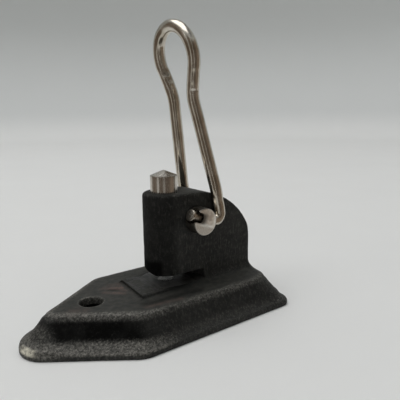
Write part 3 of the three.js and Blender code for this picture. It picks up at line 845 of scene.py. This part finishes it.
def nose_relief(material):
    """A slanting relief under the front of the nose, ground away by hand."""
    reach = 14.0
    corners = [(-reach, -reach), (THROAT_END_X, -reach), (THROAT_END_X, reach), (-reach, reach)]
    points = [(x, y, THROAT_FLOOR_Z + THROAT_HEIGHT / 2) for x, y in corners]
    for x, y in corners:
        z = THROAT_FLOOR_Z + THROAT_HEIGHT + RELIEF_RISE - RELIEF_FORWARD * x + RELIEF_ACROSS * y
        points.append((x, y, max(z, THROAT_FLOOR_Z + THROAT_HEIGHT * 0.6)))
    sides = [[i, (i + 1) % 4, 4 + (i + 1) % 4, 4 + i] for i in range(4)]
    return new_object("nose_relief", points, [[3, 2, 1, 0], [4, 5, 6, 7]] + sides, material)


def machined_cuts(cast, material):
    """The landing's front edge as the pattern left it, and everything cut after the casting was poured."""
    across = PLATFORM["half_width"]
    return [
        front_step(cast),
        nose_relief(material),
        extrude(throat_outline(), 2 * across, material),
        flared_bore(
            PLUNGER_RADIUS + RUNNING_GAP, PLUNGER_BORE_MOUTH, SPRING_SEAT_Z, POST_TOP_Z + OVERSHOOT,
            POST_TOP_Z, 0, material,
        ),
        cylinder(DIE_RADIUS + RUNNING_GAP, THROAT_FLOOR_Z + 1, SPRING_SEAT_Z + 1, material=material),
        cylinder(DIE_RADIUS + PRESS_GAP, 0.0, THROAT_FLOOR_Z + 1, material=material),
        cross_cylinder(SHAFT_RADIUS + RUNNING_GAP, -across, across, SHAFT_X, SHAFT_Z, material),
        cross_cylinder(STOP_SCREW_RADIUS + PRESS_GAP, 0, across, 0, STOP_SCREW_Z, material),
        flared_bore(
            SCREW_HOLE_RADIUS, SCREW_HOLE_MOUTH, 0.0, PLATFORM_Z + OVERSHOOT, PLATFORM_Z, SCREW_HOLE_X, cast,
        ),
    ]


def distance_to_outline(points, outline):
    """How far each point lies from a closed outline in plan."""
    corners = np.array(outline)
    ahead = np.roll(corners, -1, axis=0) - corners
    nearest = np.full(len(points), 1e9)
    for corner, step in zip(corners, ahead):
        away = points[:, :2] - corner
        share = np.clip((away @ step) / (step @ step + 1e-12), 0, 1)
        nearest = np.minimum(nearest, np.hypot(*(away - share[:, None] * step).T))
    return nearest


# Red-brown stains on the platform, each a streak: from, to, width and strength
STAINS = [
    ((-21.8, 7.8), (-16.4, 4.2), 1.0, 0.75),
    ((-22.6, 3.9), (-17.6, -0.6), 0.9, 0.75),
    ((-16.6, 2.6), (-15.8, 1.4), 1.3, 0.6),
    ((-17.8, 8.6), (-15.4, 7.6), 1.6, 0.3),
    ((-37.0, -3.0), (-34.0, -5.0), 2.0, 0.25),
    ((-17.0, -15.2), (-5.0, -16.4), 0.9, 0.5),
]
# Dark marks, each from, to, width and strength: the first old dirt among the stains, the second painted shade
# along the platform's near side
DIRT_AND_SHADE_STREAKS = [
    ((-20.2, 5.0), (-17.4, 2.9), 0.6, 0.45),
    ((-16.0, -13.2), (4.0, -14.6), 1.9, 0.5),
]


def streaked(points, streaks):
    """How strongly each point of the platform is marked by a list of streaks."""
    total = np.zeros(len(points))
    for start, end, width, strength in streaks:
        start, along = np.array(start), np.subtract(end, start)
        away = points[:, :2] - start
        share = np.clip((away @ along) / (along @ along), 0, 1)
        away = np.hypot(*(away - share[:, None] * along).T)
        total += strength * np.exp(-(away / width) ** 2)
    return total * smoothstep(PLATFORM_Z - 1.2, PLATFORM_Z - 0.6, points[:, 2])


def paint_casting(body):
    """Where the japan is worn, stained or gone, and where shade and light are painted on. Each smoothstep
    runs to where the mark is full.
    """
    points = points_of(body)
    x, y, z = points.T
    up = normals_of(body)[:, 2]
    cloud = noise_at(points, 7.0)

    edge = distance_to_outline(points, base_outline(**between(RIM, PLATFORM, 0.97)))
    on_edge = np.exp(-(edge / 1.4) ** 2) * smoothstep(8.2, 9.8, z) * smoothstep(11.9, 11.2, z)
    rim = distance_to_outline(points, base_outline(**RIM))
    on_rim = np.exp(-(rim / 1.2) ** 2) * smoothstep(1.0, 1.7, z) * smoothstep(3.4, 2.6, z)
    on_flange = smoothstep(5.4, 3.2, z) * smoothstep(0.2, 0.55, up)
    on_post_edge = np.exp(-((z - POST_TOP_Z + 0.5) / 0.5) ** 2)
    toward_tip = smoothstep(-8.0, -22.0, x)
    wear_and_hole_light = on_edge * (0.52 + 0.30 * toward_tip) + on_rim * (0.05 + 0.28 * toward_tip)
    from_hole = np.hypot(x - SCREW_HOLE_X, y)
    in_hole = smoothstep(SCREW_HOLE_RADIUS + 0.9, SCREW_HOLE_RADIUS + 0.6, from_hole)
    # Painted light: the screw hole's wall is lightened like worn metal. The tip's rim is worn.
    wear_and_hole_light += 0.5 * in_hole + 0.4 * smoothstep(BASE_FRONT_X + 10, BASE_FRONT_X + 5, x) * smoothstep(9.5, 7.0, z)
    wear_and_hole_light += on_flange * (0.13 + 0.45 * toward_tip) + 0.22 * on_post_edge
    wear_and_hole_light += 0.14 * smoothstep(28.0, 34.0, x) * smoothstep(11.5, 10.5, z)
    paint(body, "wear_and_hole_light", np.clip(wear_and_hole_light * (1 + 0.35 * cloud), 0, 1))

    # Painted shade: the coves are darkened, most along the tapering sides.
    in_cove = smoothstep(3.4, 5.0, z) * smoothstep(10.0, 8.6, z)
    on_taper = smoothstep(-18.0, -25.0, x) * smoothstep(16.5, 12.0, np.abs(x + 30.0))
    painted_shade_and_dirt = in_cove * (0.25 + 0.75 * on_taper) * (1 + 0.25 * cloud)
    # Painted shade on the front of the post, over the throat.
    painted_shade_and_dirt += 0.6 * smoothstep(-4.5, -6.0, x) * smoothstep(22.0, 19.0, z) * smoothstep(14.0, 15.0, z)
    painted_shade_and_dirt += 0.55 * smoothstep(1.5, -2.5, x) * smoothstep(15.0, 16.0, z)
    painted_shade_and_dirt *= smoothstep(32.0, 26.0, x)
    # Painted shade beside the throat and on the landing by the anvil.
    by_throat = sum(bump_at(points, (1.0, side * 8.5, 12.0), (10.0, 4.6, 2.0)) for side in (-1, 1))
    painted_shade_and_dirt += 0.75 * by_throat + 0.5 * bump_at(points, (-2.0, -3.5, THROAT_FLOOR_Z), (5.0, 6.0, 1.5))
    # Dark marks on the platform: one old dirt, the other painted shade.
    painted_shade_and_dirt += streaked(points, DIRT_AND_SHADE_STREAKS)
    paint(body, "painted_shade_and_dirt", np.clip(painted_shade_and_dirt, 0, 1))

    paint(body, "rust", np.clip(streaked(points, STAINS) * (0.75 + 0.5 * cloud), 0, 0.85))

    tip = bump_at(points, (BASE_FRONT_X + 1.6, -2.6, RIM_HEIGHT + 0.15), (3.0, 4.4, 0.95))
    ridge = 0.3 + 0.7 * np.exp(-((rim - 0.6) / 0.5) ** 2)
    paint(body, "bare", np.clip(2.4 * tip * ridge * (1 + 0.6 * noise_at(points, 1.2)) - 0.35, 0, 1))

    # Painted light: upward faces of the platform, landing and post, and the screw hole, get a lighter japan.
    # They are also less grainy.
    on_top = smoothstep(0.75, 0.95, up) * smoothstep(10.4, 10.9, z)
    paint(body, "smooth_and_lit", np.clip(on_top + in_hole, 0, 1))


def make_casting(cast, milled):
    body = cast_body()
    body.data.materials.append(cast)
    combine(body, "DIFFERENCE", *machined_cuts(cast, milled), solver="MANIFOLD")
    paint_casting(body)
    shade(body, 38)
    return place(body, "casting")


# ---------------------------------------------------------------- plunger and dies

def make_plunger(steel):
    """The ram: a shallow cone on top, a keyway in its far side, and a rack on its back."""
    chamfer = 0.4
    top_chamfer = 0.22
    radius = PLUNGER_RADIUS
    side_low = PLUNGER_SHOULDER_Z + chamfer
    side_high = PLUNGER_RIM_Z - top_chamfer
    side_steps = 12
    profile = [(0, PLUNGER_SHOULDER_Z), (radius - chamfer, PLUNGER_SHOULDER_Z), (radius, side_low)]
    profile += [(radius, lerp(side_low, side_high, i / side_steps)) for i in range(1, side_steps)]
    profile += [(radius, side_high), (radius - 0.07, PLUNGER_RIM_Z - 0.07)]
    profile.append((radius - top_chamfer, PLUNGER_RIM_Z))
    cone_rings = 14
    for ring in range(1, cone_rings):
        share = ring / cone_rings
        rounding = 0.12 * share ** 8
        z = lerp(PLUNGER_RIM_Z, PLUNGER_APEX_Z, share) - rounding
        profile.append(((radius - top_chamfer) * (1 - share), z))
    profile.append((0, PLUNGER_APEX_Z - 0.1))
    body = lathe(profile, 128, steel)
    die_hole_top = PLUNGER_SHOULDER_Z + UPPER_DIE_GRIP + 0.3
    die_hole = cylinder(DIE_RADIUS + PRESS_GAP, PLUNGER_SHOULDER_Z - 1, die_hole_top)
    key_half = STOP_POINT_RADIUS + 0.15
    keyway = block(
        (-key_half, screw_low.y - 0.15, STOP_SCREW_Z - key_half),
        (key_half, radius + 1, STOP_SCREW_Z + STOP_POINT_RADIUS + STROKE + 0.3),
    )
    combine(body, "DIFFERENCE", die_hole, keyway, *rack_spaces())
    points = points_of(body)
    from_axis = np.hypot(points[:, 0], points[:, 1])
    at_rim = np.exp(-((points[:, 2] - PLUNGER_RIM_Z + 0.12) / 0.14) ** 2)
    paint(body, "edge", at_rim * smoothstep(radius - 0.5, radius - 0.1, from_axis))
    shade(body, 25)
    return place(body, "plunger_ram")


def rack_spaces():
    """The tooth spaces of the rack, across the back of the plunger."""
    pitch_line = SHAFT_X - PITCH_RADIUS
    root = pitch_line - DEDENDUM
    mouth = PLUNGER_RADIUS + 1
    half_gap = TOOTH_PITCH / 4 + BACKLASH / 4
    half_root = half_gap - DEDENDUM * math.tan(PRESSURE_ANGLE)
    half_mouth = half_gap + (mouth - pitch_line) * math.tan(PRESSURE_ANGLE)
    spaces = []
    for i in range(RACK_SPACES):
        z = SHAFT_Z + (i - RACK_SPACES_BELOW) * TOOTH_PITCH
        outline = [
            (root, z - half_root), (mouth, z - half_mouth), (mouth, z + half_mouth), (root, z + half_root),
        ]
        spaces.append(extrude(outline, 2 * PLUNGER_RADIUS))
    return spaces


def make_pin(low, high, chamfer, name, steel):
    """A hardened pin between the lowest and highest corners of its CAD box."""
    radius = high.y
    profile = [(0, low.z), (radius - chamfer, low.z), (radius, low.z + chamfer)]
    profile += [(radius - chamfer * inward, high.z - chamfer * (1 - up)) for inward, up in quarter_turn(5)]
    profile += [(radius * 0.5, high.z), (0, high.z)]
    pin = lathe(profile, 72, steel)
    shade(pin, 40)
    return place(pin, name)


# ---------------------------------------------------------------- cross shaft

def pinion_outline():
    base_radius = PITCH_RADIUS * math.cos(PRESSURE_ANGLE)
    tip_radius = PITCH_RADIUS + GEAR_MODULE
    root_radius = PITCH_RADIUS - DEDENDUM

    def half_tooth_at(radius):
        angle = math.acos(min(1.0, base_radius / radius))
        at_pitch = TOOTH_PITCH / 4 - BACKLASH / 4
        involute = math.tan(PRESSURE_ANGLE) - PRESSURE_ANGLE - (math.tan(angle) - angle)
        return at_pitch / PITCH_RADIUS + involute

    flank = [root_radius] + [lerp(base_radius, tip_radius, i / 5) for i in range(6)]
    outline = []
    for tooth in range(PINION_TEETH):
        middle = math.pi + 2 * math.pi * tooth / PINION_TEETH
        left = [(radius, middle - half_tooth_at(radius)) for radius in flank]
        right = [(radius, middle + half_tooth_at(radius)) for radius in reversed(flank)]
        outline += [on_circle(radius, angle) for radius, angle in left + right]
    return outline


def journal(side, steel):
    """One plain end of the shaft, about its own axis, with the wire's hole and its notch in the face."""
    chamfer = 0.4
    end = SHAFT_HALF_LENGTH
    radius = SHAFT_RADIUS
    profile = [(0, PINION_HALF_WIDTH), (radius, PINION_HALF_WIDTH)]
    rings = 14
    profile += [(radius, lerp(PINION_HALF_WIDTH, end - chamfer, i / rings)) for i in range(1, rings + 1)]
    profile += [(radius - 0.12, end - 0.12), (radius - chamfer, end)]
    profile += [((radius - chamfer) * (1 - i / rings), end) for i in range(1, rings)]
    profile.append((0, end))
    made = lathe(profile, ROUND_SIDES, steel)
    made.data.transform(Matrix.Rotation(-side * math.pi / 2, 4, "X"))
    hole_radius = WIRE_RADIUS + WIRE_HOLE_GAP
    reach = 2 * radius
    hook_axis = Matrix.Rotation(-math.pi / 2 + HOOK_TILT, 4, "Y") @ Matrix.Translation((HOOK_RISE, 0, 0))
    hole = lathe([
        (0, -reach), (hole_radius, -reach), (hole_radius, radius - 0.9),
        (hole_radius + 0.35, radius + 0.2), (hole_radius + 0.35, reach), (0, reach),
    ], 64, steel)
    hole.data.transform(Matrix.Translation((0, side * LEG_Y, 0)) @ hook_axis)
    notch_radius = hole_radius + 0.25
    notch = lathe([
        (0, NOTCH_START), (notch_radius * 0.55, NOTCH_START + 0.08),
        (notch_radius * 0.88, NOTCH_START + 0.45), (notch_radius, NOTCH_START + 1.2),
        (notch_radius, reach), (0, reach),
    ], 64, steel)
    notch.data.transform(Matrix.Translation((0, side * (LEG_Y + NOTCH_OUTWARD), 0)) @ hook_axis)
    return combine(made, "DIFFERENCE", hole, notch)


def from_shaft(points):
    """How far points lie from the shaft's axis, forward along the wire's hook and up across it."""
    x, z = points[:, 0], points[:, 2]
    forward = -x * math.cos(HOOK_TILT) + z * math.sin(HOOK_TILT)
    return forward, x * math.sin(HOOK_TILT) + z * math.cos(HOOK_TILT)


def swell_ends(shaft):
    """Raises the thin wall over each wire, and marks what is flat and dull and where shade is painted."""
    points = points_of(shaft)
    x, y, z = points.T
    forward, rise = from_shaft(points)
    band = np.clip(1 - ((rise - HOOK_RISE) / 2.5) ** 2, 0, 1) ** 0.5
    along = smoothstep(2.6, 0.8, forward) * smoothstep(-4.6, -2.4, forward)
    on_face = smoothstep(SHAFT_HALF_LENGTH - 0.15, SHAFT_HALF_LENGTH - 0.01, np.abs(y))
    dents = 0.10 * noise_at(points, 1.6) * on_face
    points[:, 1] += np.sign(y) * (0.5 * band * along * on_face + dents)
    set_points(shaft, points)
    paint(shaft, "ground", np.clip(on_face * smoothstep(-1.0, -1.9, rise), 0, 1))
    # Painted shade: dark in the wire's hole, fading out from beside the notch, and on the front of the round
    # side.
    from_wire = np.hypot(rise - HOOK_RISE, np.abs(y) - LEG_Y)
    in_hole = smoothstep(WIRE_RADIUS + 0.9, WIRE_RADIUS + 0.5, from_wire)
    in_hole *= smoothstep(4.9, 4.5, np.hypot(x, z))
    by_notch = smoothstep(-1.2, 1.3, forward) * smoothstep(-1.6, -0.6, rise)
    by_notch *= smoothstep(3.2, 2.0, rise) * on_face
    round_side = (1 - on_face) * smoothstep(-1.0, 1.5, forward)
    paint(shaft, "painted_shade", np.clip(in_hole + 0.75 * by_notch + 0.9 * round_side, 0, 1))


def make_shaft(steel):
    teeth = extrude(pinion_outline(), 2 * PINION_HALF_WIDTH + 0.2, steel)
    shaft = combine(teeth, "UNION", journal(-1, steel), journal(1, steel))
    swell_ends(shaft)
    shade(shaft, 32)
    shaft.data.transform(Matrix.Translation((SHAFT_X, 0, SHAFT_Z)))
    return place(shaft, "cross_shaft")


# ---------------------------------------------------------------- wire handle

def leg_outline():
    """Heights up the handle's plane and the wire's distance from the middle, up to the top of the bulb."""
    outline = [(0.5, LEG_Y), (LEG_PARALLEL / 2, LEG_Y), (LEG_PARALLEL, LEG_Y)]
    leg_end = (NECK_HEIGHT - 2, NECK_HALF_WIDTH + 0.15)
    leg_steps = 5
    for step in range(1, leg_steps):
        share = step / leg_steps
        outline.append((lerp(LEG_PARALLEL, leg_end[0], share), lerp(LEG_Y, leg_end[1], share)))
    outline += [(NECK_HEIGHT - 1.5, NECK_HALF_WIDTH + 0.05), (NECK_HEIGHT, NECK_HALF_WIDTH)]
    outline.append((NECK_HEIGHT + 2.5, NECK_HALF_WIDTH + 0.4))
    bulb_steps = 10
    bulb_start = math.radians(-30)
    for step in range(bulb_steps + 1):
        angle = lerp(bulb_start, math.pi / 2, step / bulb_steps)
        outline.append((BULB_HEIGHT + BULB_RADIUS * math.sin(angle), BULB_RADIUS * math.cos(angle)))
    return outline


def handle_route():
    """The points that the wire's centre line passes through, from one end to the other, about the shaft."""
    forward = np.array([-math.cos(HOOK_TILT), 0, math.sin(HOOK_TILT)])
    rise = np.array([math.sin(HOOK_TILT), 0, math.cos(HOOK_TILT)])
    up = np.array([-math.sin(HANDLE_LEAN), 0, math.cos(HANDLE_LEAN)])
    near = np.array([0, -1.0, 0])
    bend_centre = -HOOK_BACK * forward + (HOOK_RISE + HOOK_BEND_RADIUS) * rise
    half = [
        HOOK_RISE * rise + along * forward + LEG_Y * near
        for along in (HOOK_FRONT, HOOK_FRONT / 2, 0, -HOOK_BACK / 2)
    ]
    bend_steps = 7
    for step in range(bend_steps + 1):
        angle = lerp(-math.pi / 2 - HOOK_TILT, HANDLE_LEAN, step / bend_steps)
        spoke = np.array([math.cos(angle), 0, math.sin(angle)])
        half.append(bend_centre + HOOK_BEND_RADIUS * spoke + LEG_Y * near)
    leg_start = half.pop() - LEG_Y * near
    half += [leg_start + height * up + half_width * near for height, half_width in leg_outline()]
    mirrored = [point * (1, -1, 1) for point in reversed(half[:-1])]
    return np.array(half + mirrored)


def slope_at(before, here, after, gap, next_gap):
    return (here - before) / gap - (after - before) / (gap + next_gap) + (after - here) / next_gap


def smooth_curve(route, spacing):
    """Points a fixed distance apart on a centripetal Catmull-Rom curve through the route."""
    route = np.vstack([2 * route[0] - route[1], route, 2 * route[-1] - route[-2]])
    fine = []
    for before, start, end, after in zip(route, route[1:], route[2:], route[3:]):
        gaps = [np.linalg.norm(b - a) ** 0.5 for a, b in ((before, start), (start, end), (end, after))]
        leave = slope_at(before, start, end, gaps[0], gaps[1]) * gaps[1]
        arrive = slope_at(start, end, after, gaps[1], gaps[2]) * gaps[1]
        for t in np.linspace(0, 1, 40, endpoint=False):
            square = -3 * start + 3 * end - 2 * leave - arrive
            cube = 2 * start - 2 * end + leave + arrive
            fine.append(start + t * leave + t * t * square + t ** 3 * cube)
    fine.append(route[-2])
    fine = np.array(fine)
    travel = np.concatenate([[0], np.cumsum(np.linalg.norm(np.diff(fine, axis=0), axis=1))])
    stations = np.linspace(0, travel[-1], round(travel[-1] / spacing) + 1)
    return np.stack([np.interp(stations, travel, fine[:, i]) for i in range(3)], axis=1)


# Tool marks on the wire: side (-1 near, 1 far), height above the shaft, direction that the mark faces,
# length along the wire, and depth
TOOL_MARKS = [
    (-1, 44.6, (-0.3, -0.95, 0.1), 0.45, 0.34),
    (-1, 46.2, (-0.9, -0.4, 0.0), 1.1, 0.10),
    (1, 50.2, (-0.35, -0.93, 0.0), 1.25, 0.42),
    (1, 47.6, (-0.2, -0.95, 0.2), 0.8, 0.22),
    (1, 45.2, (-0.7, -0.6, 0.1), 0.9, 0.15),
    (1, 60.5, (0.1, -0.95, -0.1), 0.5, 0.10),
    (-1, 6.5, (0.6, -0.8, 0.0), 1.3, 0.14),
    (1, 6.0, (0.6, 0.8, 0.0), 1.3, 0.14),
]

# The wire's cut ends: distance from the end, and share of the wire's radius there
CUT_END = [(0.0, 0.88), (0.09, 0.99), (0.24, 1.04), (0.7, 1.02)]


def dents_at(centre, direction):
    """How deep each tool mark is where the wire faces in a direction from its centre line."""
    depths = []
    for side, height, facing, length, depth in TOOL_MARKS:
        away = (centre[2] - height) / length
        toward = Vector(direction).dot(Vector(facing).normalized())
        strength = math.exp(-away * away) * max(0.0, (toward - 0.55) / 0.45)
        depths.append(depth * strength if centre[1] * side >= 0 else 0.0)
    return depths


def make_handle(nickel):
    path = smooth_curve(handle_route(), 0.4)
    first, last = path[0], path[-1]
    start_dir = (path[1] - first) / np.linalg.norm(path[1] - first)
    end_dir = (path[-2] - last) / np.linalg.norm(path[-2] - last)
    head = [first + start_dir * offset for offset, _ in CUT_END]
    tail = [last + end_dir * offset for offset, _ in reversed(CUT_END)]
    path = np.array(head + list(path[3:-3]) + tail)
    end_radii = [share for _, share in CUT_END]
    end_rings = len(CUT_END)
    radii = np.full(len(path), WIRE_RADIUS)
    radii[:end_rings] *= end_radii
    radii[-end_rings:] *= end_radii[::-1]

    def skin(ring, direction):
        centre = path[ring]
        wobble = WIRE_WOBBLE * noise.noise(Vector(centre + 3 * direction) / WIRE_WOBBLE_LENGTH)
        near_end = min(ring, len(path) - 1 - ring) < end_rings
        burr = WIRE_BURR * noise.noise(Vector(centre + 2.2 * direction) * 0.9) if near_end else 0.0
        return wobble + burr - sum(dents_at(centre, direction))

    handle = tube(path, radii, WIRE_SIDES, skin, nickel)
    points = points_of(handle)
    away = np.minimum(np.linalg.norm(points - first, axis=1), np.linalg.norm(points - last, axis=1))
    paint(handle, "cut", smoothstep(2.5, 1.6, away))
    scar_and_shade = np.zeros(len(points))
    for ring, centre in enumerate(path):
        for index in range(ring * WIRE_SIDES, (ring + 1) * WIRE_SIDES):
            direction = points[index] - centre
            scar_and_shade[index] = 2.4 * max(dents_at(centre, direction / np.linalg.norm(direction)))
    # Painted shade on the wire where it goes into the shaft's notch and hole.
    in_hole = smoothstep(HOOK_FRONT - 0.5, HOOK_FRONT - 1.0, from_shaft(points)[0])
    in_hole *= np.hypot(points[:, 0], points[:, 2]) < SHAFT_RADIUS
    paint(handle, "scar_and_shade", np.clip(np.maximum(scar_and_shade - 0.15, in_hole), 0, 1))
    shade(handle, 50)
    handle.data.transform(Matrix.Translation((SHAFT_X, 0, SHAFT_Z)))
    return place(handle, "bent_wire_handle")


# ---------------------------------------------------------------- return spring and stop screw

def make_spring(steel):
    radius = (spring_high.y - spring_low.y) / 2 - SPRING_WIRE_RADIUS
    low = spring_low.z + SPRING_WIRE_RADIUS
    high = spring_high.z - SPRING_WIRE_RADIUS
    steps = round(SPRING_STEPS * SPRING_TURNS)
    path = []
    for step in range(steps + 1):
        share = step / steps
        path.append((*on_circle(radius, 2 * math.pi * SPRING_TURNS * share), lerp(low, high, share)))
    spring = tube(path, [SPRING_WIRE_RADIUS] * len(path), SPRING_SIDES, material=steel)
    shade(spring, 50)
    return place(spring, "coil_spring")


def make_stop_screw(steel):
    """A slotted headless screw with a dog point."""
    tip, head = screw_low.y, screw_high.y
    point_end = PLUNGER_RADIUS + 0.3
    tip_chamfer = 0.15
    head_chamfer = 0.2
    slot_depth = 0.7
    slot_half = 0.25
    profile = [
        (0, tip), (STOP_POINT_RADIUS - tip_chamfer, tip), (STOP_POINT_RADIUS, tip + tip_chamfer),
        (STOP_POINT_RADIUS, point_end), (STOP_SCREW_RADIUS, point_end + 0.5),
        (STOP_SCREW_RADIUS, head - head_chamfer), (STOP_SCREW_RADIUS - head_chamfer, head), (0, head),
    ]
    screw = lathe(profile, 48, steel)
    screw.data.transform(Matrix.Translation((0, 0, STOP_SCREW_Z)) @ Matrix.Rotation(-math.pi / 2, 4, "X"))
    slot_low = (-2 * STOP_SCREW_RADIUS, head - slot_depth, STOP_SCREW_Z - slot_half)
    slot_high = (2 * STOP_SCREW_RADIUS, head + 1, STOP_SCREW_Z + slot_half)
    combine(screw, "DIFFERENCE", block(slot_low, slot_high))
    shade(screw, 30)
    return place(screw, "slotted_stop_screw")


# ---------------------------------------------------------------- studio

# Where the camera stands, and how it is turned
CAMERA_PLACE = (-0.07825, -0.13146, 0.07263)
CAMERA_AZIMUTH = math.radians(-37.34)
CAMERA_DOWN = math.radians(11.5)
CAMERA_ROLL = math.radians(-0.55)
CAMERA_LENS = 40.69

FLOOR_RADIUS = 0.9
SWEEP_RADIUS = 0.3
WALL_HEIGHT = 1.5
CARD_NEAR = 0.08
CARD_FAR = 0.5
CARD_HEIGHT = 0.5
# Each card's start and end, in degrees to either side of the camera, and its brightness
CARDS = [(-112, -50, 1.0), (-38, 6, 0.85), (12, 60, 0.8), (60, 106, 1.55)]


def make_studio():
    """A pale floor that curves up into a wall all round, with painted shade making the wall greyer with
    height, and soft lights over it.
    """
    surface = Surface("backdrop", (0.8, 0.8, 0.79), Roughness=0.95)
    surface.shader.inputs["Specular IOR Level"].default_value = 0.1
    height = surface.node("ShaderNodeSeparateXYZ", {"Vector": surface.position}).outputs["Z"]
    paper = surface.mix(surface.noise(60.0), (0.79, 0.79, 0.78), (0.82, 0.82, 0.81))
    # Painted shade: the colour greys as the sweep rises into the wall.
    lower = surface.blend(height, 0.005, 0.07, paper, (0.66, 0.67, 0.665))
    surface.color(surface.blend(height, 0.05, 0.42, lower, (0.49, 0.50, 0.49)))
    profile = [(0.0, 0.0)]
    profile += [(FLOOR_RADIUS * i / 6, 0.0) for i in range(1, 7)]
    profile += [(FLOOR_RADIUS + SWEEP_RADIUS * out, SWEEP_RADIUS * up) for up, out in quarter_turn(24)[1:]]
    profile.append((FLOOR_RADIUS + SWEEP_RADIUS, WALL_HEIGHT))
    sides = 96
    points = []
    for radius, z in profile:
        points += circle_points(radius, z, sides)
    faces = ring_faces(len(profile), sides)
    floor = new_object("studio_sweep", points, faces, surface.material)
    floor.data.polygons.foreach_set("use_smooth", [True] * len(faces))

    world = bpy.data.worlds.new("room")
    bpy.context.scene.world = world
    world.use_nodes = True
    world.node_tree.nodes["Background"].inputs["Color"].default_value = (0.96, 0.98, 1.0, 1)
    world.node_tree.nodes["Background"].inputs["Strength"].default_value = 0.2

    area_light("overhead", (-0.40, 0.30, 1.9), (2.2, 2.0), 27.5)
    area_light("left_fill", (-0.8, 0.15, 0.5), (0.4, 0.4), 0.8)
    dark_cards()
    bpy.context.scene.view_settings.view_transform = "Standard"


def dark_cards():
    """Dark cards on the floor and up behind the camera, seen only in reflections, as the dark room is."""
    surface = Surface("dark_card", (0.0, 0.0, 0.0), Roughness=1.0)
    surface.set(surface.shader, {
        "Emission Color": (0.14, 0.112, 0.088, 1), "Emission Strength": surface.attribute("brightness"),
    })
    profile = [(CARD_NEAR, MM), (CARD_FAR, MM), (CARD_FAR, CARD_HEIGHT)]
    steps = 12
    points = []
    faces = []
    brightness = []
    for start, end, level in CARDS:
        first = len(points)
        for radius, z in profile:
            for step in range(steps + 1):
                angle = CAMERA_AZIMUTH + math.radians(lerp(start, end, step / steps))
                points.append((radius * math.sin(angle), -radius * math.cos(angle), z))
                brightness.append(level)
        faces += ring_faces(len(profile), steps + 1, first, closed=False)
    cards = new_object("dark_cards", points, faces, surface.material)
    paint(cards, "brightness", brightness)
    cards.visible_camera = False
    cards.visible_diffuse = False
    cards.visible_transmission = False
    cards.visible_shadow = False


def area_light(name, location, size, power):
    light = bpy.data.lights.new(name, "AREA")
    light.shape = "RECTANGLE"
    light.size, light.size_y = size
    light.energy = power
    lamp = bpy.data.objects.new(name, light)
    lamp.location = location
    target = Vector((0, 0, 0.03))
    lamp.rotation_euler = (Vector(location) - target).to_track_quat("Z", "Y").to_euler()
    bpy.context.scene.collection.objects.link(lamp)


def make_camera():
    camera = bpy.data.cameras.new("camera")
    camera.lens = CAMERA_LENS
    camera.sensor_width = 36
    camera.clip_start = 0.005
    camera.clip_end = 20
    holder = bpy.data.objects.new("camera", camera)
    turn, down = CAMERA_AZIMUTH, CAMERA_DOWN
    back = Vector((math.sin(turn) * math.cos(down), -math.cos(turn) * math.cos(down), math.sin(down)))
    level = Vector((math.cos(turn), math.sin(turn), 0))
    upright = back.cross(level)
    right = level * math.cos(CAMERA_ROLL) + upright * math.sin(CAMERA_ROLL)
    top = upright * math.cos(CAMERA_ROLL) - level * math.sin(CAMERA_ROLL)
    turned = Matrix((right, top, back)).transposed().to_4x4()
    holder.matrix_world = Matrix.Translation(CAMERA_PLACE) @ turned
    bpy.context.scene.collection.objects.link(holder)
    bpy.context.scene.camera = holder


# ---------------------------------------------------------------- assembly

def add(piece, body, node):
    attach(piece, body)
    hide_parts(node)
    return piece


tool_steel = ground_steel("tool_steel", (0.10, 0.097, 0.093), (0.22, 0.214, 0.207))
spring_steel = oiled_steel("spring_steel", (0.14, 0.13, 0.12), (0.32, 0.31, 0.29), 0.3)
black_steel = oiled_steel("black_steel", (0.03, 0.029, 0.028), (0.07, 0.068, 0.066), 0.42)

add(make_casting(japanned_iron(), milled_iron()), "frame", "frame_casting")
add(make_pin(anvil_low, anvil_high, 0.3, "anvil", tool_steel), "frame", "anvil_pin")
add(make_stop_screw(black_steel), "frame", "stop_screw")
spring = add(make_spring(spring_steel), "frame", "return_spring")
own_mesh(spring)
add(make_plunger(turned_steel()), "plunger", "plunger")
add(make_pin(die_low, die_high, 0.25, "die_pin", tool_steel), "plunger", "upper_die")
add(make_shaft(worn_nickel()), "lever", "pinion_shaft")
add(make_handle(nickel_wire()), "lever", "wire_handle")

make_studio()
make_camera()
